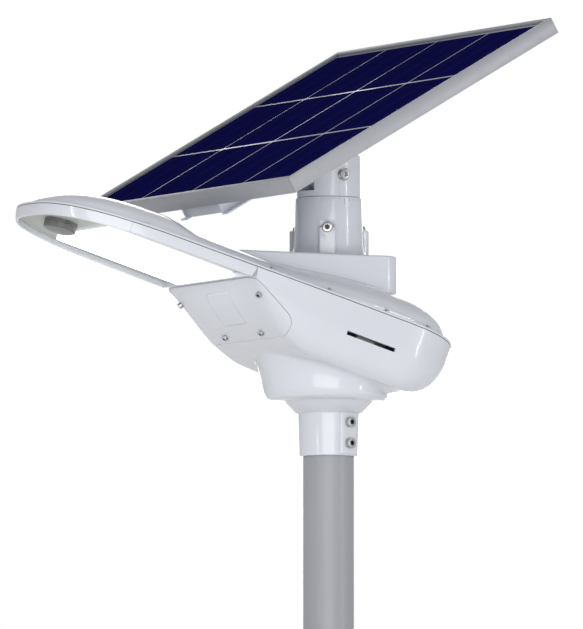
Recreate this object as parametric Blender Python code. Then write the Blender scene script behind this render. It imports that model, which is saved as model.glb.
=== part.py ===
# Solar street lamp: the top of a pole with an all-in-one lamp head and a tilting solar panel.
# Metres, +Z up. The pole's axis is Z, the lamp head points to -Y, and the origin is the centre of the
# pole section's lower end. Pieces of the lamp head lie in a frame that rises towards the nose.
import math

import bmesh
import bpy
from mathutils import Matrix, Vector
from mathutils.bvhtree import BVHTree

GAP = 0.0003  # clearance between pieces that touch

# Pole and sleeve
POLE_RADIUS = 0.038
POLE_WALL = 0.003
POLE_LENGTH = 0.362
SLEEVE_BOTTOM = 0.300
SLEEVE_TOP = 0.3635
PAD_DISTANCE = 0.0460
BORE_RADIUS = POLE_RADIUS + 0.0005

# Lamp head: plan outline on the seam plane, which rises to the nose (-Y)
HEAD_RISE = math.radians(16.6)
SEAM_HEIGHT = 0.510  # height of the seam plane on the pole's axis
BODY_HALF_WIDTH = 0.149
HEAD_NARROWING = 0.009
NOSE_START = -0.300
NOSE_LENGTH = 0.224
NOSE_POWER = 2.6
TAIL_START = 0.073
TAIL_LENGTH = 0.1175
DIVIDE = -0.2037  # where the bezel ends and the lower housing begins
NOSE_JOINT = -0.4135  # joint between the bezel's nose and its frame
SEAM = 0.0012  # height of the joint that the gasket fills

# Upper cover
FLANGE_THICKNESS = 0.003
FLANGE_WIDTH = 0.013
COVER_WALL = 0.0025
DECK_HEIGHT = 0.597
DECK_HALF_WIDTH = 0.085
DECK_FRONT = -0.200
DECK_REAR = 0.080
DECK_CORNER = 0.026

# Lower housing
HOUSING_WALL = 0.003
BELLY_DEPTH = 0.093
RIM_DEPTH = 0.0167
BOSS_RADIUS = 0.0916
BOSS_FOOT = 0.388
BOSS_DRAFT = math.tan(math.radians(12.0))
BOSS_SHIFT = -0.004

# Turret and panel
TURRET_RADIUS = 0.0498
TURRET_JOINT = 0.686
HINGE_HEIGHT = 0.7189
PANEL_TILT = math.radians(30.0)
PANEL_WIDTH = 0.670
PANEL_LENGTH = 0.510
PANEL_THICKNESS = 0.025
PANEL_STANDOFF = 0.0677  # from the hinge axis to the panel's underside
PANEL_CENTRE = 0.024  # panel centre up the slope from the hinge axis
PANEL_LOW = PANEL_CENTRE - PANEL_LENGTH / 2
PANEL_HIGH = PANEL_CENTRE + PANEL_LENGTH / 2
ARM_OFFSET = 0.0560

ROUND_SIDES = 36
SCREW_SIDES = 8
FRONT_STEPS = 6  # divisions of the housing's front edge on each side


# Materials: base colour, roughness, metallic
FINISHES = {
    "white_enamel": ((0.80, 0.82, 0.86), 0.22, 0.0),
    "pole_paint": ((0.42, 0.43, 0.46), 0.50, 0.3),
    "steel": ((0.45, 0.45, 0.46), 0.30, 1.0),
    "aluminium": ((0.58, 0.59, 0.61), 0.38, 1.0),
    "black_rubber": ((0.03, 0.03, 0.03), 0.75, 0.0),
    "dark_plastic": ((0.10, 0.10, 0.11), 0.45, 0.0),
    "light_plastic": ((0.62, 0.64, 0.62), 0.50, 0.0),
    "clear_lens": ((0.92, 0.93, 0.95), 0.15, 0.0),
    "solar_glass": ((0.006, 0.006, 0.055), 0.10, 0.0),
    "battery_wrap": ((0.05, 0.12, 0.35), 0.40, 0.0),
    "circuit_board": ((0.75, 0.77, 0.78), 0.50, 0.0),
}


def make_material(owner, finish):
    colour, roughness, metallic = FINISHES[finish]
    material = bpy.data.materials.new(owner + "_" + finish)
    material.use_nodes = True
    shader = material.node_tree.nodes["Principled BSDF"]
    shader.inputs["Base Color"].default_value = (*colour, 1.0)
    shader.inputs["Roughness"].default_value = roughness
    shader.inputs["Metallic"].default_value = metallic
    material.diffuse_color = (*colour, 1.0)
    return material


def make_axis(name, location, turn_x=0.0, parent=None):
    empty = bpy.data.objects.new(name, None)
    empty.empty_display_size = 0.05
    empty.location = location
    empty.rotation_euler = (turn_x, 0.0, 0.0)
    empty.parent = parent
    bpy.context.scene.collection.objects.link(empty)
    return empty


def add_object(name, bm, finish, parent=None, location=(0.0, 0.0, 0.0), rotation=None):
    bmesh.ops.remove_doubles(bm, verts=bm.verts, dist=1e-6)
    bmesh.ops.dissolve_degenerate(bm, edges=bm.edges, dist=1e-6)
    bmesh.ops.recalc_face_normals(bm, faces=bm.faces)
    mesh = bpy.data.meshes.new(name)
    bm.to_mesh(mesh)
    bm.free()
    mesh.shade_smooth()
    mesh.set_sharp_from_angle(angle=math.radians(35.0))
    mesh.materials.append(make_material(name, finish))
    piece = bpy.data.objects.new(name, mesh)
    piece.parent = parent
    piece.location = location
    if rotation is not None:
        piece.rotation_mode = "QUATERNION"
        piece.rotation_quaternion = rotation
    bpy.context.scene.collection.objects.link(piece)
    return piece


def add_cutter(name, bm, parent=None):
    cutter = add_object(name, bm, "steel", parent)
    cutter.hide_render = True
    cutter.display_type = "WIRE"
    return cutter


def combine(piece, other, operation):
    modifier = piece.modifiers.new(other.name, "BOOLEAN")
    modifier.operation = operation
    modifier.solver = "EXACT"
    modifier.object = other


# Solids from rings of points
def add_rings(bm, rings, close_rows=False, cap_first=True, cap_last=True):
    rows = [[bm.verts.new(point) for point in ring] for ring in rings]
    count = len(rows[0])
    pairs = list(zip(rows, rows[1:]))
    if close_rows:
        pairs.append((rows[-1], rows[0]))
    for first, second in pairs:
        for i in range(count):
            j = (i + 1) % count
            bm.faces.new((first[i], first[j], second[j], second[i]))
    if not close_rows:
        if cap_first:
            bm.faces.new(list(reversed(rows[0])))
        if cap_last:
            bm.faces.new(rows[-1])
    return rows


def circle(radius, height, sides=ROUND_SIDES, centre=(0.0, 0.0)):
    points = []
    for i in range(sides):
        angle = 2.0 * math.pi * i / sides
        points.append(Vector((centre[0] + radius * math.cos(angle), centre[1] + radius * math.sin(angle), height)))
    return points


def turned(profile, sides=ROUND_SIDES, hollow=True):
    bm = bmesh.new()
    add_rings(bm, [circle(radius, height, sides) for radius, height in profile], close_rows=hollow)
    return bm


def block(low, high):
    bm = bmesh.new()
    corners = [(low[0], low[1]), (high[0], low[1]), (high[0], high[1]), (low[0], high[1])]
    rings = [[Vector((x, y, z)) for x, y in corners] for z in (low[2], high[2])]
    add_rings(bm, rings)
    return bm


def extruded(profile, start, end, place):
    bm = bmesh.new()
    rings = [[place(a, b, along) for a, b in profile] for along in (start, end)]
    add_rings(bm, rings)
    return bm


# Plan outline of the head, as (x, y) points in the head's frame
def half_width(y):
    t = min(max((-y - 0.05) / 0.30, 0.0), 1.0)
    return BODY_HALF_WIDTH - HEAD_NARROWING * t * t * (3.0 - 2.0 * t)


def nose_points(steps):
    points = []
    for i in range(steps + 1):
        angle = 0.5 * math.pi * i / steps
        y = NOSE_START - NOSE_LENGTH * math.cos(angle) ** (2.0 / NOSE_POWER)
        points.append((half_width(y) * math.sin(angle) ** (2.0 / NOSE_POWER), y))
    points[-1] = (half_width(NOSE_START), NOSE_START)
    return points


def side_points(start, end, steps):
    ys = [start + (end - start) * i / steps for i in range(steps + 1)]
    return [(half_width(y), y) for y in ys]


def tail_points(steps):
    points = []
    for i in range(1, steps + 1):
        angle = 0.5 * math.pi * i / steps
        x = BODY_HALF_WIDTH * math.cos(angle)
        points.append((x, TAIL_START + TAIL_LENGTH * math.sin(angle)))
    points[-1] = (0.0, TAIL_START + TAIL_LENGTH)
    return points


def across_points(y, steps):
    reach = half_width(y)
    return [(reach * i / steps, y) for i in range(steps)]


def whole_loop(half):
    # The +X half, from the front of the loop to its back, and its mirror image
    mirrored = [(-x, y) for x, y in reversed(half[1:-1])]
    return half + mirrored


def full_outline():
    return whole_loop(nose_points(9) + side_points(NOSE_START, TAIL_START, 8)[1:] + tail_points(7))


def bezel_outline():
    sides = side_points(NOSE_START, DIVIDE - 0.0005, 2)[1:]
    return whole_loop(nose_points(10) + sides + list(reversed(across_points(DIVIDE - 0.0005, 3))))


def housing_outline():
    sides = side_points(DIVIDE, TAIL_START, 7)
    return whole_loop(across_points(DIVIDE, FRONT_STEPS) + sides + tail_points(8))


def inset(loop, distance):
    # Each point moves inwards by its distance, mitred at corners; the loop runs with its inside on one side
    result = []
    count = len(loop)
    for i, point in enumerate(loop):
        here = Vector(point)
        before = (here - Vector(loop[i - 1])).normalized()
        after = (Vector(loop[(i + 1) % count]) - here).normalized()
        first = Vector((-before.y, before.x))
        second = Vector((-after.y, after.x))
        middle = (first + second).normalized()
        reach = distance[i] if isinstance(distance, list) else distance
        moved = here + middle * (reach / max(middle.dot(first), 0.6))
        result.append((moved.x, moved.y))
    return result


def inwards(loop, distance):
    # Turning the sign so that a positive distance always shrinks the loop
    area = sum(a[0] * b[1] - b[0] * a[1] for a, b in zip(loop, loop[1:] + loop[:1]))
    if isinstance(distance, list):
        return inset(loop, [d if area > 0 else -d for d in distance])
    return inset(loop, distance if area > 0 else -distance)


def at_height(loop, height):
    return [Vector((x, y, height)) for x, y in loop]


# Upper cover's shape above its flange
def cover_height(y):
    body = min(max((y + 0.19) / 0.22, 0.0), 1.0)
    dome = min(max((-y - 0.285) / 0.05, 0.0), 1.0)
    return 0.030 + 0.027 * body * body * (3.0 - 2.0 * body) + 0.0135 * dome * dome * (3.0 - 2.0 * dome)


def cover_rings(base_loop, fractions, lift, sink):
    rings = []
    for fraction in fractions:
        ring = []
        for x, y in base_loop:
            spine_y = min(max(y, -0.350), 0.085)
            px = x * fraction
            py = spine_y + (y - spine_y) * fraction
            rise = math.sqrt(max(0.0, 1.0 - fraction**2))
            ring.append(Vector((px, py, lift + (cover_height(py) - sink) * rise)))
        rings.append(ring)
    return rings


def build_upper_cover(head):
    fractions = (1.0, 0.985, 0.94, 0.86, 0.74, 0.58, 0.38, 0.18, 0.0)
    loop = full_outline()
    wall_loop = inwards(loop, FLANGE_WIDTH)
    inner_loop = inwards(loop, FLANGE_WIDTH + COVER_WALL)
    outer = cover_rings(wall_loop, fractions, FLANGE_THICKNESS, 0.0)
    inner = cover_rings(inner_loop, fractions, 0.0, 0.0)
    rings = list(reversed(inner)) + [at_height(loop, 0.0), at_height(loop, FLANGE_THICKNESS)] + outer
    bm = bmesh.new()
    add_rings(bm, rings, cap_first=False, cap_last=False)
    cover = add_object("upper_cover", bm, "white_enamel", head)
    combine(cover, add_cutter("deck_block", deck_block(0.0, 0.450)), "UNION")
    combine(cover, add_cutter("deck_hollow", deck_block(COVER_WALL, 0.450)), "DIFFERENCE")
    return cover


def deck_block(shrink, bottom):
    # Rounded rectangle with its front end inside the cover; the hollow is one wall smaller
    rear = DECK_REAR - shrink
    side = DECK_HALF_WIDTH - shrink
    corner = DECK_CORNER - shrink
    front = DECK_FRONT + 6.0 * shrink
    half = [(0.0, front), (side, front)]
    for i in range(5):
        angle = 0.5 * math.pi * i / 4
        half.append((side - corner + corner * math.cos(angle), rear - corner + corner * math.sin(angle)))
    half.append((0.0, rear))
    loop = whole_loop(half)
    bm = bmesh.new()
    if shrink > 0.0:
        add_rings(bm, [at_height(loop, bottom), at_height(loop, DECK_HEIGHT - shrink)])
        return bm
    top = [at_height(loop, DECK_HEIGHT - 0.003), at_height(inwards(loop, 0.003), DECK_HEIGHT)]
    add_rings(bm, [at_height(loop, bottom)] + top)
    # Its walls end just above the seam plane
    normal = Matrix.Rotation(-HEAD_RISE, 4, "X") @ Vector((0.0, 0.0, 1.0))
    point = Vector((0.0, 0.0, SEAM_HEIGHT)) + normal * 0.014
    geometry = bm.verts[:] + bm.edges[:] + bm.faces[:]
    bmesh.ops.bisect_plane(bm, geom=geometry, plane_co=point, plane_no=-normal, clear_outer=True)
    bmesh.ops.holes_fill(bm, edges=[edge for edge in bm.edges if edge.is_boundary])
    return bm


# Lower housing
def belly_depth(y):
    # Full depth under the body, rising in a rounded slope to the rim at the front and falling away at the tail
    if y > -0.060:
        return BELLY_DEPTH - 0.045 * max((y - 0.087) / 0.1035, 0.0) ** 1.6
    t = min((y - DIVIDE) / (-0.060 - DIVIDE), 1.0)
    return RIM_DEPTH + (BELLY_DEPTH - RIM_DEPTH) * (1.0 - (1.0 - max(t, 0.0)) ** 1.8)


def head_matrix():
    return Matrix.Translation((0.0, 0.0, SEAM_HEIGHT)) @ Matrix.Rotation(-HEAD_RISE, 4, "X")


# Steps round the belly's side and corner: inset at the sides, at the front and at the tail, share of the depth
CORNER = (
    (0.0, 0.0, 0.0, 0.0),
    (0.003, 0.0, 0.0008, 0.20),
    (0.006, 0.0006, 0.0022, 0.40),
    (0.010, 0.0040, 0.0048, 0.58),
    (0.016, 0.0110, 0.0090, 0.75),
    (0.025, 0.0210, 0.0150, 0.89),
    (0.034, 0.0310, 0.0230, 0.97),
)


def belly_rings():
    # Rings down the belly's side and corner, then across its underside to the boss
    to_world = head_matrix()
    loop = housing_outline()
    rings = []
    for reach, front_reach, tail_reach, share in CORNER:
        reaches = []
        for x, y in loop:
            at_front = y <= DIVIDE + 1e-6 and abs(x) < half_width(DIVIDE) - 1e-6
            rear = max((y - TAIL_START) / TAIL_LENGTH, 0.0) ** 2
            reaches.append(front_reach if at_front else reach + (tail_reach - reach) * rear)
        ring = []
        moved = inwards(loop, reaches)
        narrowed = moved[FRONT_STEPS][0] / loop[FRONT_STEPS][0]
        for i, (x, y) in enumerate(moved):
            if i < FRONT_STEPS or i > len(moved) - FRONT_STEPS:
                x *= narrowed
            depth = RIM_DEPTH * min(1.0, share / 0.40) + (belly_depth(y) - RIM_DEPTH) * share
            ring.append(to_world @ Vector((x, y, -max(depth, SEAM))))
        rings.append(ring)
    last = rings[-1]
    centre = Vector((0.0, BOSS_SHIFT))
    for share in (0.45, 0.8, 1.0):
        ring = []
        for point in last:
            away = Vector((point.x, point.y)) - centre
            target = centre + away.normalized() * (boss_foot_radius() + 0.008)
            ring.append(belly_point(Vector((point.x, point.y)).lerp(target, share)))
        rings.append(ring)
    return rings


def boss_foot_radius():
    return BOSS_RADIUS + (0.430 - BOSS_FOOT) * BOSS_DRAFT


def belly_point(flat):
    # The underside's point straight below or above a plan position
    y_head = flat.y / math.cos(HEAD_RISE)
    for _ in range(4):
        depth = belly_depth(y_head) * 0.985
        y_head = (flat.y + depth * math.sin(HEAD_RISE)) / math.cos(HEAD_RISE)
    height = SEAM_HEIGHT - y_head * math.sin(HEAD_RISE) - depth * math.cos(HEAD_RISE)
    return Vector((flat.x, flat.y, height))


def boss_rings(foot_ring):
    # From the belly down the tapered wall of the boss to its rounded foot
    centre = Vector((0.0, BOSS_SHIFT))
    rings = []
    for share, extra in ((0.12, 0.002), (0.5, 0.0), (0.85, 0.0), (1.0, -0.003)):
        ring = []
        for point in foot_ring:
            away = (Vector((point.x, point.y)) - centre).normalized()
            height = point.z + (BOSS_FOOT - 0.002 - point.z) * share
            radius = BOSS_RADIUS + max(height - BOSS_FOOT, 0.0) * BOSS_DRAFT + extra
            ring.append(Vector((centre.x + away.x * radius, centre.y + away.y * radius, height)))
        rings.append(ring)
    return rings


def offset_inside(rings, distance):
    # The same grid of points moved one wall's thickness to the inside, along the surface's normals
    moved = []
    count = len(rings[0])
    for row, ring in enumerate(rings):
        above = rings[max(row - 1, 0)]
        below = rings[min(row + 1, len(rings) - 1)]
        new_ring = []
        for i, point in enumerate(ring):
            around = ring[(i + 1) % count] - ring[i - 1]
            normal = around.cross(below[i] - above[i]).normalized()
            new_ring.append(point + normal * distance)
        moved.append(new_ring)
    middle = moved[3][count // 2]
    if middle.y > rings[3][count // 2].y:
        return offset_inside(rings, -distance)
    return moved


def round_ring(foot_ring, radius, height):
    ring = []
    for point in foot_ring:
        away = Vector((point.x, point.y)).normalized()
        ring.append(Vector((away.x * radius, away.y * radius, height)))
    return ring


def housing_solid():
    skin = belly_rings()
    skin += boss_rings(skin[-1])
    inner = offset_inside(skin, HOUSING_WALL)
    outer = list(skin)
    for radius, height in ((0.084, 0.3832), (0.066, 0.3814), (0.049, 0.3644), (0.0455, SLEEVE_TOP)):
        outer.append(round_ring(skin[0], radius, height))
    outer.append(round_ring(skin[0], 0.0437, SLEEVE_BOTTOM))
    for radius, height in ((0.080, 0.3867), (0.065, 0.3852), (0.047, 0.3690)):
        inner.append(round_ring(skin[0], radius, height))
    inner.append(round_ring(skin[0], BORE_RADIUS, 0.3690))
    inner.append(round_ring(skin[0], BORE_RADIUS, SLEEVE_BOTTOM))
    # The screw ledge around the inside of the rim
    to_world = head_matrix()
    ledge_loop = inwards(housing_outline(), 0.0150)
    ledge = [[to_world @ Vector((x, y, -depth)) for x, y in ledge_loop] for depth in (SEAM, 0.0085)]
    bm = bmesh.new()
    add_rings(bm, outer + list(reversed(inner[2:])) + list(reversed(ledge)), close_rows=True)
    return bm


def cover_prism(shift_y, shift_z, reach):
    # Side view of the battery cover's seam, run across the head
    seam = [(-0.260, -0.0150), (DIVIDE, -0.0150), (-0.1828, -0.0234), (-0.1269, -0.0516)]
    seam += [(-0.1190, -0.0620), (-0.1155, -0.0819), (-0.1145, -0.1500), (-0.260, -0.1500)]
    moved = [(y + shift_y, z + shift_z) for y, z in seam]
    return extruded(moved, -reach, reach, lambda y, z, x: Vector((x, y, z)))


def sleeve_pad(side):
    # Flat clamping pad for two bolts, 13 degrees behind square to the head
    direction = pad_direction(side)
    across = Vector((-direction.y, direction.x, 0.0))
    bm = bmesh.new()
    rings = []
    for height in (SLEEVE_BOTTOM + 0.002, SLEEVE_TOP + 0.0005):
        ring = []
        for out, aside in ((0.0392, -0.016), (PAD_DISTANCE, -0.016), (PAD_DISTANCE, 0.016), (0.0392, 0.016)):
            ring.append(direction * out + across * aside + Vector((0.0, 0.0, height)))
        rings.append(ring)
    add_rings(bm, rings)
    return bm


def pad_direction(side):
    return Vector((side * math.cos(math.radians(13.4)), math.sin(math.radians(13.4)), 0.0))


def rod_between(start, end, radius, sides=12):
    axis = end - start
    turn = axis.to_track_quat("Z", "Y").to_matrix().to_4x4()
    place = Matrix.Translation(start) @ turn
    bm = bmesh.new()
    add_rings(bm, [[place @ p for p in circle(radius, z, sides)] for z in (0.0, axis.length)])
    return bm


def several(builders):
    whole = bmesh.new()
    for bm in builders:
        mesh = bpy.data.meshes.new("part_of_cutter")
        bm.to_mesh(mesh)
        bm.free()
        whole.from_mesh(mesh)
        bpy.data.meshes.remove(mesh)
    return whole


SLEEVE_BOLT_HEIGHTS = (0.3495, 0.3181)
FLANGE_SCREW_YS = (-0.1777, -0.0787, 0.0212, 0.0960)
COVER_SCREWS = {
    "upper": ((0.1240, -0.1800, -0.0340), (0.35, -0.52, -0.78)),
    "lower": ((0.057, -0.1330, -0.0793), (0.0, -0.58, -0.81)),
}


def flange_screw_places():
    places = []
    for y in FLANGE_SCREW_YS:
        if y <= TAIL_START:
            x = half_width(y) - 0.0062
        else:
            x = (BODY_HALF_WIDTH - 0.0062) * math.sqrt(1.0 - ((y - TAIL_START) / (TAIL_LENGTH - 0.0062)) ** 2)
        places += [(x, y), (-x, y)]
    return places


def build_lower_housing(head):
    housing = add_object("lower_housing", housing_solid(), "white_enamel")
    combine(housing, add_cutter("cover_opening", cover_prism(0.0, 0.0, 0.170), head), "DIFFERENCE")
    for side in (1, -1):
        combine(housing, add_cutter("pad_block_%d" % side, sleeve_pad(side)), "UNION")
    rods = []
    for side in (1, -1):
        for height in SLEEVE_BOLT_HEIGHTS:
            way = pad_direction(side)
            rods.append(rod_between(way * 0.036 + Vector((0, 0, height)), way * 0.050 + Vector((0, 0, height)), 0.0043))
    combine(housing, add_cutter("sleeve_bolt_holes", several(rods)), "DIFFERENCE")
    slots = [block((x0, -0.0333, -0.0495), (x1, 0.0508, -0.0435)) for x0, x1 in ((0.12, 0.16), (-0.16, -0.12))]
    combine(housing, add_cutter("side_slots", several(slots), head), "DIFFERENCE")
    holes = []
    for x, y in flange_screw_places():
        holes.append(rod_between(Vector((x, y, -0.0075)), Vector((x, y, 0.004)), 0.0018, 8))
    combine(housing, add_cutter("flange_screw_holes", several(holes), head), "DIFFERENCE")
    return housing


def build_battery_cover(head):
    cover = add_object("battery_cover", housing_solid(), "white_enamel")
    combine(cover, add_cutter("cover_region", cover_prism(-0.0005, -0.0005, 0.165), head), "INTERSECT")
    holes = []
    for _, place, way in cover_screw_list():
        holes.append(rod_between(place - way * 0.006, place + way * 0.004, 0.0026, 8))
    combine(cover, add_cutter("cover_screw_holes", several(holes)), "DIFFERENCE")
    return cover


def cover_screw_list():
    # Each screw stands square on the cover's skin, where a line towards its aim point meets it
    bm = housing_solid()
    bm.normal_update()
    skin = BVHTree.FromBMesh(bm)
    bm.free()
    to_world = head_matrix()
    screws = []
    for name, (place, way) in COVER_SCREWS.items():
        for side in (1, -1):
            aim = to_world @ Vector((side * place[0], place[1], place[2]))
            line = to_world.to_3x3() @ Vector((side * way[0], way[1], way[2])).normalized()
            seat, normal, _, _ = skin.ray_cast(aim + line * 0.060, -line)
            if normal.dot(line) < 0.0:
                normal = -normal
            screws.append((name + ("_near" if side > 0 else "_far"), seat, normal))
    return screws


def make_screw(name, parent, place, way, head_radius, head_height, shank_radius, shank_length, sides=SCREW_SIDES):
    # Socket-head screw: its seat is at the object's origin and its head points along its own +Z
    socket = head_radius * 0.52
    rings = [
        circle(shank_radius, -shank_length, sides),
        circle(shank_radius, 0.0, sides),
        circle(head_radius, 0.0, sides),
        circle(head_radius, head_height * 0.85, sides),
        circle(head_radius * 0.9, head_height, sides),
        circle(socket, head_height, sides),
        circle(socket, head_height * 0.45, sides),
    ]
    bm = bmesh.new()
    add_rings(bm, rings)
    turn = Vector(way).to_track_quat("Z", "Y")
    return add_object(name, bm, "steel", parent, place, turn)


def build_lamp_screws(head):
    for number, (x, y) in enumerate(flange_screw_places(), 1):
        seat = (x, y, FLANGE_THICKNESS + GAP)
        make_screw("flange_screw_%d" % number, head, seat, (0, 0, 1), 0.0036, 0.0040, 0.0014, 0.0095)
    for name, place, way in cover_screw_list():
        make_screw("cover_screw_" + name, None, place + way * 0.0007, way, 0.0046, 0.0042, 0.0022, 0.0100)
    for side in (1, -1):
        for number, height in enumerate(SLEEVE_BOLT_HEIGHTS, 1):
            way = pad_direction(side)
            seat = way * (PAD_DISTANCE + GAP) + Vector((0.0, 0.0, height))
            name = "sleeve_bolt_%s_%d" % ("near" if side > 0 else "far", number)
            make_screw(name, None, seat, way, 0.0078, 0.0068, 0.0038, PAD_DISTANCE - POLE_RADIUS)


def build_bezel(head):
    section = [(0.0, -SEAM), (0.0015, -0.0100), (0.0030, -0.0155), (0.0042, -RIM_DEPTH)]
    section += [(0.0075, -RIM_DEPTH), (0.0078, -0.0057), (0.0145, -0.0057), (0.0145, -SEAM)]
    for name, keep, shift in (("bezel_nose", 1.0, -0.0002), ("bezel_frame", -1.0, 0.0002)):
        loop = bezel_outline()
        bm = bmesh.new()
        add_rings(bm, [at_height(inwards(loop, reach), depth) for reach, depth in section], close_rows=True)
        geometry = bm.verts[:] + bm.edges[:] + bm.faces[:]
        cut = Vector((0.0, NOSE_JOINT + shift, 0.0))
        bmesh.ops.bisect_plane(bm, geom=geometry, plane_co=cut, plane_no=(0.0, keep, 0.0), clear_outer=True)
        bmesh.ops.holes_fill(bm, edges=[edge for edge in bm.edges if edge.is_boundary])
        add_object(name, bm, "white_enamel", head)


def build_gasket(head):
    section = [(0.0025, -SEAM + GAP), (0.0042, -SEAM + GAP), (0.0042, -GAP), (0.0025, -GAP)]
    bm = bmesh.new()
    loop = full_outline()
    add_rings(bm, [at_height(inwards(loop, reach), depth) for reach, depth in section], close_rows=True)
    add_object("housing_gasket", bm, "black_rubber", head)


LENS_HALF_WIDTH = 0.0875
LENS_REAR = -0.2135
LENS_FRONT = -0.4265
SENSOR_Y = -0.4654


def build_light(head):
    bm = bmesh.new()
    loop = inwards(bezel_outline(), 0.0081)
    add_rings(bm, [at_height(loop, -0.0088), at_height(loop, -0.0060)])
    add_object("light_plate", bm, "light_plastic", head)

    board = block((-0.083, LENS_FRONT + 0.004, -0.0107), (0.083, LENS_REAR - 0.004, -0.0091))
    add_object("led_board", board, "circuit_board", head)

    bm = bmesh.new()
    outer = [(-LENS_HALF_WIDTH, LENS_FRONT), (LENS_HALF_WIDTH, LENS_FRONT)]
    outer += [(LENS_HALF_WIDTH, LENS_REAR), (-LENS_HALF_WIDTH, LENS_REAR)]
    lip = inwards(outer, 0.0015)
    well = inwards(outer, 0.0025)
    top = -0.0091
    rings = [at_height(well, -0.0140), at_height(well, top), at_height(outer, top)]
    rings += [at_height(outer, -0.0152), at_height(lip, -RIM_DEPTH)]
    add_rings(bm, rings)
    add_object("led_lens", bm, "clear_lens", head)

    profile = [(-0.075, -0.0057), (0.075, -0.0057), (0.075, 0.0123)]
    fins = 8
    pitch = 0.150 / fins
    for fin in range(fins):
        right = 0.075 - fin * pitch
        profile += [(right - 0.002, 0.0123), (right - 0.002, -0.0027)]
        if fin < fins - 1:
            profile += [(right - pitch, -0.0027), (right - pitch, 0.0123)]
    profile += [(-0.073, -0.0027), (-0.073, 0.0123), (-0.075, 0.0123)]
    sink = extruded(profile, -0.405, -0.235, lambda x, z, y: Vector((x, y, z)))
    add_object("heat_sink", sink, "aluminium", head)

    base = turned([(0.0001, -0.0215), (0.0240, -0.0215), (0.0250, -0.0205), (0.0250, -0.0091)], 24, False)
    add_object("sensor_base", base, "dark_plastic", head, (0.0, SENSOR_Y, 0.0))
    profile = [(0.0001, -0.0262), (0.010, -0.0258), (0.019, -0.0240), (0.0225, -0.0218)]
    add_object("sensor_lens", turned(profile, 24, False), "light_plastic", head, (0.0, SENSOR_Y, 0.0))


def build_inside(head):
    pack = block((-0.110, -0.060, -0.062), (0.110, 0.115, -0.014))
    bmesh.ops.bevel(pack, geom=[e for e in pack.edges if is_along(e, 1)], offset=0.008, segments=3, affect="EDGES")
    add_object("battery_pack", pack, "battery_wrap", head)
    strap = [(-0.1128, -0.0100), (-0.1128, -0.0648), (0.1128, -0.0648), (0.1128, -0.0100)]
    strap += [(0.1103, -0.0100), (0.1103, -0.0623), (-0.1103, -0.0623), (-0.1103, -0.0100)]
    bracket = extruded(strap, 0.010, 0.050, lambda x, z, y: Vector((x, y, z)))
    add_object("battery_bracket", bracket, "aluminium", head)
    controller = block((-0.050, -0.118, -0.050), (0.050, -0.068, -0.014))
    bmesh.ops.bevel(controller, geom=controller.edges[:], offset=0.002, segments=1, affect="EDGES")
    add_object("charge_controller", controller, "dark_plastic", head)
    for side, name in ((1, "near"), (-1, "far")):
        low = (0.1180, -0.0080, -0.0520)
        high = (0.1270, 0.0220, -0.0410)
        if side < 0:
            low, high = (-high[0], low[1], low[2]), (-low[0], high[1], high[2])
        add_object("slot_latch_" + name, block(low, high), "aluminium", head)


def is_along(edge, axis):
    way = edge.verts[1].co - edge.verts[0].co
    return abs(way[axis]) > 0.9 * way.length


# Turret: fixed base and turning head
EAR_ANGLES = (-150.0, -30.0, 90.0)  # from +X, so 60 degrees either side of the front and one behind
EAR_TOP = 0.639


def build_turret_base():
    low = DECK_HEIGHT + GAP
    profile = [(0.0582, low), (0.0560, 0.6010), (0.0535, 0.6065), (0.0515, 0.6160), (TURRET_RADIUS, 0.6855)]
    profile += [(0.0405, 0.6855), (0.0405, 0.6640), (0.0440, 0.6640), (0.0440, low)]
    base = add_object("turret_base", turned(profile), "white_enamel")
    ears = []
    pockets = []
    for angle in EAR_ANGLES:
        turn = Matrix.Rotation(math.radians(angle), 4, "Z")
        ear = block((0.0460, -0.0125, low), (0.0620, 0.0125, EAR_TOP))
        top = [e for e in ear.edges if all(v.co.x > 0.06 for v in e.verts) and not is_along(e, 1)]
        bmesh.ops.bevel(ear, geom=top, offset=0.003, segments=2, affect="EDGES")
        bmesh.ops.transform(ear, matrix=turn, verts=ear.verts)
        ears.append(ear)
        for start, end, radius in ((0.0520, 0.0800, 0.0083), (0.0400, 0.0600, 0.0043)):
            lift = Vector((0.0, 0.0, EAR_TOP))
            pockets.append(rod_between(turn @ Vector((start, 0, 0)) + lift, turn @ Vector((end, 0, 0)) + lift, radius))
    for number, ear in enumerate(ears, 1):
        combine(base, add_cutter("ear_block_%d" % number, ear), "UNION")
    for number, pocket in enumerate(pockets, 1):
        combine(base, add_cutter("ear_pocket_%d" % number, pocket), "DIFFERENCE")
    for number, angle in enumerate(EAR_ANGLES, 1):
        way = Vector((math.cos(math.radians(angle)), math.sin(math.radians(angle)), 0.0))
        seat = way * (0.0520 + GAP) + Vector((0.0, 0.0, EAR_TOP))
        make_screw("turret_screw_%d" % number, None, seat, way, 0.0077, 0.0066, 0.0038, 0.0115)


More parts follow.
